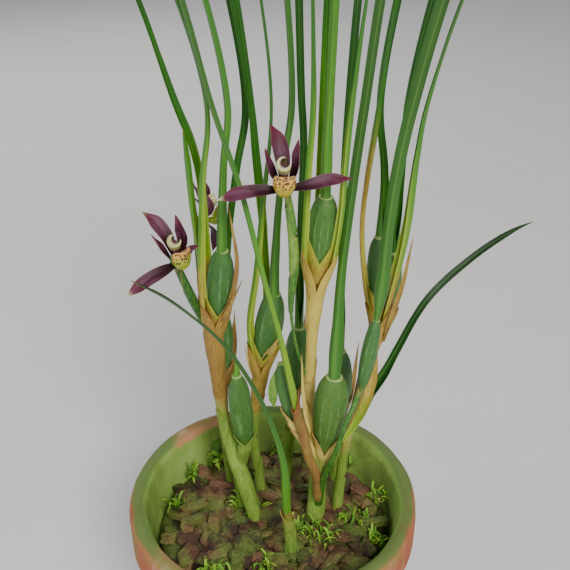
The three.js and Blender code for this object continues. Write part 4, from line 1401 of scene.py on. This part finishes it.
def moss():
    """Curled moss round the stems and along the wall."""
    draw = random.Random(MOSS_DRAW)
    skin = Skin()
    clumps = [
        (-21, -38, 5, 34), (-14, -42, 4.5, 30), (-27, -33, 4, 22), (-4, -30, 5, 22),
        (22, -12, 6, 34), (12, -8, 6, 26), (-12, 6, 6, 24), (38, -2, 6, 24), (48, -14, 4.5, 22),
        (-46, 8, 4, 16), (-40, 30, 4, 14), (4, 48, 5, 16), (36, 38, 5, 16), (50, 12, 4.5, 18),
    ]
    for x, y, spread, count in clumps:
        for _ in range(count):
            angle, out = draw.uniform(0, 2 * math.pi), spread * math.sqrt(draw.random())
            foot = np.array([
                x + math.cos(angle) * out, y + math.sin(angle) * out, MEDIUM_TOP - 1.6,
            ])
            lean = draw.uniform(0, 2 * math.pi)
            tall, reach = draw.uniform(3, 7), draw.uniform(1, 4.5)
            to = np.array([math.cos(lean), math.sin(lean), 0])
            line = [foot, foot + to * reach * 0.4 + (0, 0, tall * 0.7)]
            line.append(foot + to * reach + (0, 0, tall))
            line.append(foot + to * reach * 1.7 + (0, 0, tall * 0.85))
            wide = draw.uniform(0.9, 1.7)
            blade(
                skin, line, [wide * 0.5, wide, wide * 0.8, 0.5], [120, 100, 90, 60],
                tuple(-to + (0, 0, 0.3)), thickness=0.35, keel=0.05, points=4, step=1.4,
                seed=draw.random(), point_length=2,
            )
    by_wall = [
        (-31.8, 36.3), (-29.8, 42), (-25.8, 44), (-21.5, 41.7), (-19.2, 35.6), (-26.3, 38),
    ]
    for x, y in by_wall:
        foot, lean = np.array([x, y, MEDIUM_TOP - 1]), draw.uniform(0, 2 * math.pi)
        to, wide = np.array([math.cos(lean), math.sin(lean), 0]), draw.uniform(2.6, 3.8)
        line = [foot, foot + to * 2 + (0, 0, 5), foot + to * 6 + (0, 0, 6.5)]
        line.append(foot + to * 8 + (0, 0, 3))
        blade(
            skin, line, [wide * 0.4, wide, wide, 0.8], [90, 80, 70, 60], tuple(-to + (0, 0, 0.3)),
            thickness=0.4, keel=0.1, points=7, step=0.8, seed=draw.random(), point_length=4,
        )
    skin.make("moss", moss_finish, "bark", "bark_medium")


# Finishes in use
leaf_finish = leaf_skin("leaf")
sheath_finish = leaf_skin("leafy_sheath", margin=0.75)
bulb_finish = bulb_skin("bulb")
paper_finish = papery_skin("papery_sheath")
tepal_finish = tepal_skin("tepal")
lip_finish = lip_skin("lip")
column_finish = column_skin("column")
stalk_finish = stalk_skin("flower_stalk")
clay_finish = fired_clay("terracotta")
bark_finish = old_bark("bark")
moss_finish = moss_green("moss")

# How green each leaf is, from its foot to its tip. 0 is yellow-green and 1 is deep green.
LEAF_TONES = dict(
    upper_left=(0.45, 0.62, 0.7, 0.7), lower_left=(0.3, 0.4), inner=(0.5, 0.7, 0.75, 0.75),
    blade=(-0.1, 0.0, 0.25, 0.6, 0.8, 0.85, 0.8, 0.8, 0.8), centre=(0.45, 0.42, 0.5, 0.6),
    # painted shade: the low middle leaf deepens towards its tip where it stands in shade behind a
    # sheath of the centre shoot
    low_middle=(0.55, 0.85, 0.95, 0.9), right_front=(0.6, 0.85, 1, 0.95),
    right=(0.5, 0.68, 0.75, 0.75), right_behind=(0.6, 0.75, 0.8, 0.8),
)
BULB_TONES = dict(
    upper_left=0.6, lower_left=0.4, inner=0.5, behind_blade=0.6, centre=0.4, low_middle=0.25,
    right_front=0.6, right=0.6,
)
# How high up each bulb is fullest, and by how much it is fuller than its solid
SWELLS = dict(
    upper_left=(1.2, 1), inner=(1.2, 1), centre=(1.5, 1.05), low_middle=(1.6, 0.98), right=(1.3, 1),
)
# How far up the bulb its sheaths part, in front and at the sides
SPLITS = dict(upper_left=(0.13, 0.42), inner=(0.12, 0.4), centre=(0.26, 0.62), right=(0.2, 0.5))
# How far above its stem's end each leafy sheath turns green, and how slim it is
SHEATH_LOOKS = dict(
    upper_left=((34, 0.9), (26, 0.8), (30, 1)), inner=((16, 0.9), (24, 1)),
    centre=((12, 0.8), (20, 0.8), (30, 1)), right=((78, 0.6), (30, 1.15)),
)
# How far down the stem the outermost sheath begins, its notch and lobes, how dark it is, and how
# far its middle moves aside and forwards for the sheaths inside it, with its half width there
OUTER_CLASPS = dict(
    upper_left=(46, (0.02, 0.36), 0.35, (-1.2, -1, 6.7)),
    inner=(30, (-0.03, 0.32), 0.05, (-0.8, -1.5, 6.7)),
    centre=(58, (-0.06, 0.42), -0.25, (-0.3, -2, 6.7)),
    right=(40, (-0.1, 0.22), 0.1, (0, -3, 5.6)),
)
# The stem under each clasped shoot
STEMS_UNDER = dict(upper_left="left", inner="inner", centre="middle", right="right")

for i, (name, shoot) in enumerate(SHOOTS.items()):
    node = f"bulb_{name}" if "bulb" in shoot else f"leaf_{name}"
    seed = 0.13 + i * 0.61
    swell = SWELLS.get(name, (1.1, 1))
    if "bulb" in shoot:
        skin = Skin()
        bulb_body(
            skin, **shoot["bulb"], tone=BULB_TONES.get(name, 0.6), seed=seed, shoulder=swell[0],
            fuller=swell[1],
        )
        skin.make(f"{name}_bulb", bulb_finish, "bulb_skin", node)
    if "leaf" in shoot:
        skin = Skin()
        tone = LEAF_TONES.get(name, (0.55, 0.65, 0.75, 0.75))
        neck, covered = (shoot["bulb"]["width"] * 0.34, 0) if "bulb" in shoot else (2.7, 20)
        leaf_blade(
            skin, **shoot["leaf"], neck=neck, covered=covered, tone=tone, seed=seed, twist=10,
        )
        skin.make(f"{name}_leaf", leaf_finish, "leaf_green", node)
    if "sheaths" in shoot:
        skin = Skin()
        stem = RHIZOMES[STEMS_UNDER[name]]["stems"][0]
        for k, sheath in enumerate(shoot["sheaths"]):
            tan, slim = SHEATH_LOOKS[name][k]
            leafy_sheath(
                skin, bulb=shoot["bulb"], stem=stem, low=(11, 9, 8)[k], tan=tan, slim=slim,
                **sheath, seed=seed + k * 0.27, twist=8,
            )
        notch, lobe = SPLITS[name]
        below, outer, tone, round_arms = OUTER_CLASPS[name]
        clasp(
            skin, shoot["bulb"], stem, 10, notch, lobe, swell, tone=0.0, dry=0.62, seed=seed,
            reach=0.2, loose=0.55,
        )
        clasp(
            skin, shoot["bulb"], stem, below, *outer, swell, tone=tone, dry=1.1, seed=seed + 0.4,
            reach=0.6, loose=0.8, on_stem=0.4, paper=0.25, round_arms=round_arms, cleft=0.75,
        )
        skin.make(f"{name}_sheaths", sheath_finish, "sheath_green", f"sheaths_{name}")

for i, (name, single) in enumerate(SINGLE_BLADES.items()):
    skin = Skin()
    leaf_blade(skin, foot=1.2, **single, seed=0.4 + i, twist=6)
    skin.make(name.replace("_", "_leaf_"), leaf_finish, "leaf_green", name)

for i, (name, plant) in enumerate(FLOWERS.items()):
    flower(name, **plant["bloom"], seed=0.2 + i * 0.7)
    skin = Skin()
    look = {"tone": 0.8, **plant["stalk"]}
    clothed_stem(skin, **look, side=150, seed=0.3 + i, paper=0.05, flare=0.03)
    skin.make(f"{name}_stalk", stalk_finish, "flower_stalk", f"stalk_{name}")

# The bulbs that stand on bare stems: the rhizome, which of its stems, how far down that the scale
# round the bulb's foot begins, and how far up the bulb its lobes stand
CUPPED = dict(
    lower_left=("left", 1, 20, 0.17), behind_blade=("middle", 1, 5, 0.28),
    low_middle=("middle", 2, 20, 0.28), right_behind=("right", 1, 20, 0.28),
    back_left=("back_left", 0, 5, 0.28), back_middle=("back_middle", 0, 5, 0.28),
    back_right=("back_right", 0, 5, 0.28),
)
CUP_NOTCH = 0.05
STEM_TONES = dict(left=0.45, inner=0.1, middle=-0.15, right=0.35)
# How far up its scales reach on the first stem, below the outermost sheath, and on the others
CLOTHED_TO = dict(left=0.8, inner=0.86, middle=0.76, right=0.84)
CLOTHED = 0.97
# The height below which each rhizome's scales are green
FRESH_BELOW = dict(left=166, inner=156, middle=146, right=142, front=126)


def green_stem():
    """The smooth green stem of the narrow bulb, and a small scale behind the middle."""
    skin = Skin()
    line = [
        [21, -2, 112], [23, -11, 136], [27, -18, 156], [31.5, -19, 174], [35, -15.5, 181],
        [36.8, -14.2, 187],
    ]
    tube(skin, line, [2, 1.5, 1.2, 1.1, 1.3], tone=0.75, seed=1.83)
    line = [[0.9, -7, 171.5], [0.5, -7.5, 178], [0.7, -7.5, 184], [2, -6.5, 191]]
    blade(
        skin, line, [0.8, 3.8, 4.2, 3.2, 0.8], [60, 80, 80, 60], TOWARDS_VIEW, tone=(0.3,),
        keel=0.1, step=1.5, seed=0.7, point_length=4,
    )
    skin.make("green_stem", stalk_finish, "flower_stalk", "rhizome_middle")


def pale_sheath():
    """The broad pale sheath beside the low middle bulb."""
    skin = Skin()
    line = [
        [30, -16, 160], [34.6, -15, 168], [38.4, -14.3, 177], [41, -13.5, 187], [42.4, -12.8, 196],
        [42.8, -12.5, 204],
    ]
    blade(
        skin, line, [1.5, 3.6, 4.6, 4.4, 3.4, 1.2], [110, 120, 110, 100, 80, 60], (-0.3, -0.9, 0),
        tone=(0.1, 0.12, 0.15), dry=(0.3, 0.35, 0.45, 0.6, 0.9, 1.2), step=1.5, seed=0.4, wave=0.2,
        keel=0.1,
    )
    skin.make("pale_sheath", sheath_finish, "sheath_green", "rhizome_middle")


for i, (name, growth) in enumerate(RHIZOMES.items()):
    skin = Skin()
    tone, fresh = STEM_TONES.get(name, 0.4), FRESH_BELOW.get(name, 134)
    for k, stem in enumerate(growth["stems"]):
        seed = 0.1 + i * 0.43 + k * 0.29
        reach = CLOTHED if k else CLOTHED_TO.get(name, CLOTHED)
        clothed_stem(skin, **stem, seed=seed, tone=tone, reach=reach, flare=0.2, dry=fresh)
        for shoot, (*spot, below, lobe) in CUPPED.items():
            if spot == [name, k]:
                clasp(
                    skin, SHOOTS[shoot]["bulb"], stem, below, CUP_NOTCH, lobe,
                    SWELLS.get(shoot, (1.1, 1)), seed=seed, tone=tone, dry=fresh,
                )
    for k, sheath in enumerate(growth.get("sheaths", [])):
        brown = sheath.get("tone", tone)
        paper_sheath(
            skin, sheath["line"], sheath["width"], tone=(brown + 0.1, brown, brown),
            seed=0.6 + i * 0.3 + k, wave=0.25, twist=10,
        )
    if "hugging" in growth:
        wrap(
            skin, **growth["hugging"], start=0, end=1, side=200, low=0.88, flare=0.1, tip_flare=0.2,
            tone=0.6, dry=100, seed=0.9,
        )
    if "base" in growth:
        tube(skin, **growth["base"], sides=24, narrow=0.8, tone=0.3, dry=175, seed=0.3)
    if name == "middle":
        green_stem()
        pale_sheath()
    skin.make(f"{name}_stems", paper_finish, "papery_sheath", f"rhizome_{name}")

clay_pot()
bark_bed()
moss()


# Floor, light and camera

# Place and aim in metres, size in metres, power in watts, and colour
LIGHTS = dict(
    key=((0.35, -1.1, 1.15), (0, 0, 0.25), 0.5, 26, (1, 0.97, 0.92)),
    fill=((-1.3, -0.6, 0.7), (0, 0, 0.25), 1.2, 7.5, (0.92, 0.96, 1)),
    back=((-0.4, 1.2, 0.9), (0, 0, 0.3), 0.8, 7, (1, 1, 1)),
)
SKY_COLOUR = (0.9, 0.93, 1, 1)
SKY_STRENGTH = 0.4
FLOOR_HALF = 6.0
FLOOR_CELLS = 24
FLOOR_LEVEL = -0.0002
CAMERA_PLACE = (0.0056, -0.3132, 0.4082)
CAMERA_DOWN = 30
FOCAL_PIXELS = 900
FRAME_PIXELS = 570
SENSOR_WIDTH = 36


def light(name, place, aim, size, power, colour):
    lamp = bpy.data.lights.new(name, "AREA")
    lamp.shape = "DISK"
    lamp.size = size
    lamp.energy = power
    lamp.color = colour
    made = bpy.data.objects.new(name, lamp)
    made.location = place
    made.rotation_euler = (Vector(aim) - Vector(place)).to_track_quat("-Z", "Y").to_euler()
    bpy.context.scene.collection.objects.link(made)


def floor():
    row = FLOOR_CELLS + 1
    steps = np.linspace(-FLOOR_HALF, FLOOR_HALF, row)
    points = [(x, y, FLOOR_LEVEL) for y in steps for x in steps]
    faces = [
        (j * row + i, j * row + i + 1, (j + 1) * row + i + 1, (j + 1) * row + i)
        for j in range(FLOOR_CELLS) for i in range(FLOOR_CELLS)
    ]
    mesh = bpy.data.meshes.new("floor")
    mesh.from_pydata(points, [], faces)
    mesh.materials.append(pale_floor("floor"))
    made = bpy.data.objects.new("floor", mesh)
    bpy.context.scene.collection.objects.link(made)


floor()
for name, settings in LIGHTS.items():
    light(name, *settings)

world = bpy.data.worlds.new("studio")
world.use_nodes = True
sky = world.node_tree.nodes["Background"]
sky.inputs["Color"].default_value = SKY_COLOUR
sky.inputs["Strength"].default_value = SKY_STRENGTH
bpy.context.scene.world = world

view = bpy.data.cameras.new("view")
view.lens = SENSOR_WIDTH * FOCAL_PIXELS / FRAME_PIXELS
view.clip_start = 0.01
camera = bpy.data.objects.new("view", view)
camera.location = CAMERA_PLACE
camera.rotation_euler = (math.radians(90 - CAMERA_DOWN), 0, 0)
bpy.context.scene.collection.objects.link(camera)
bpy.context.scene.camera = camera
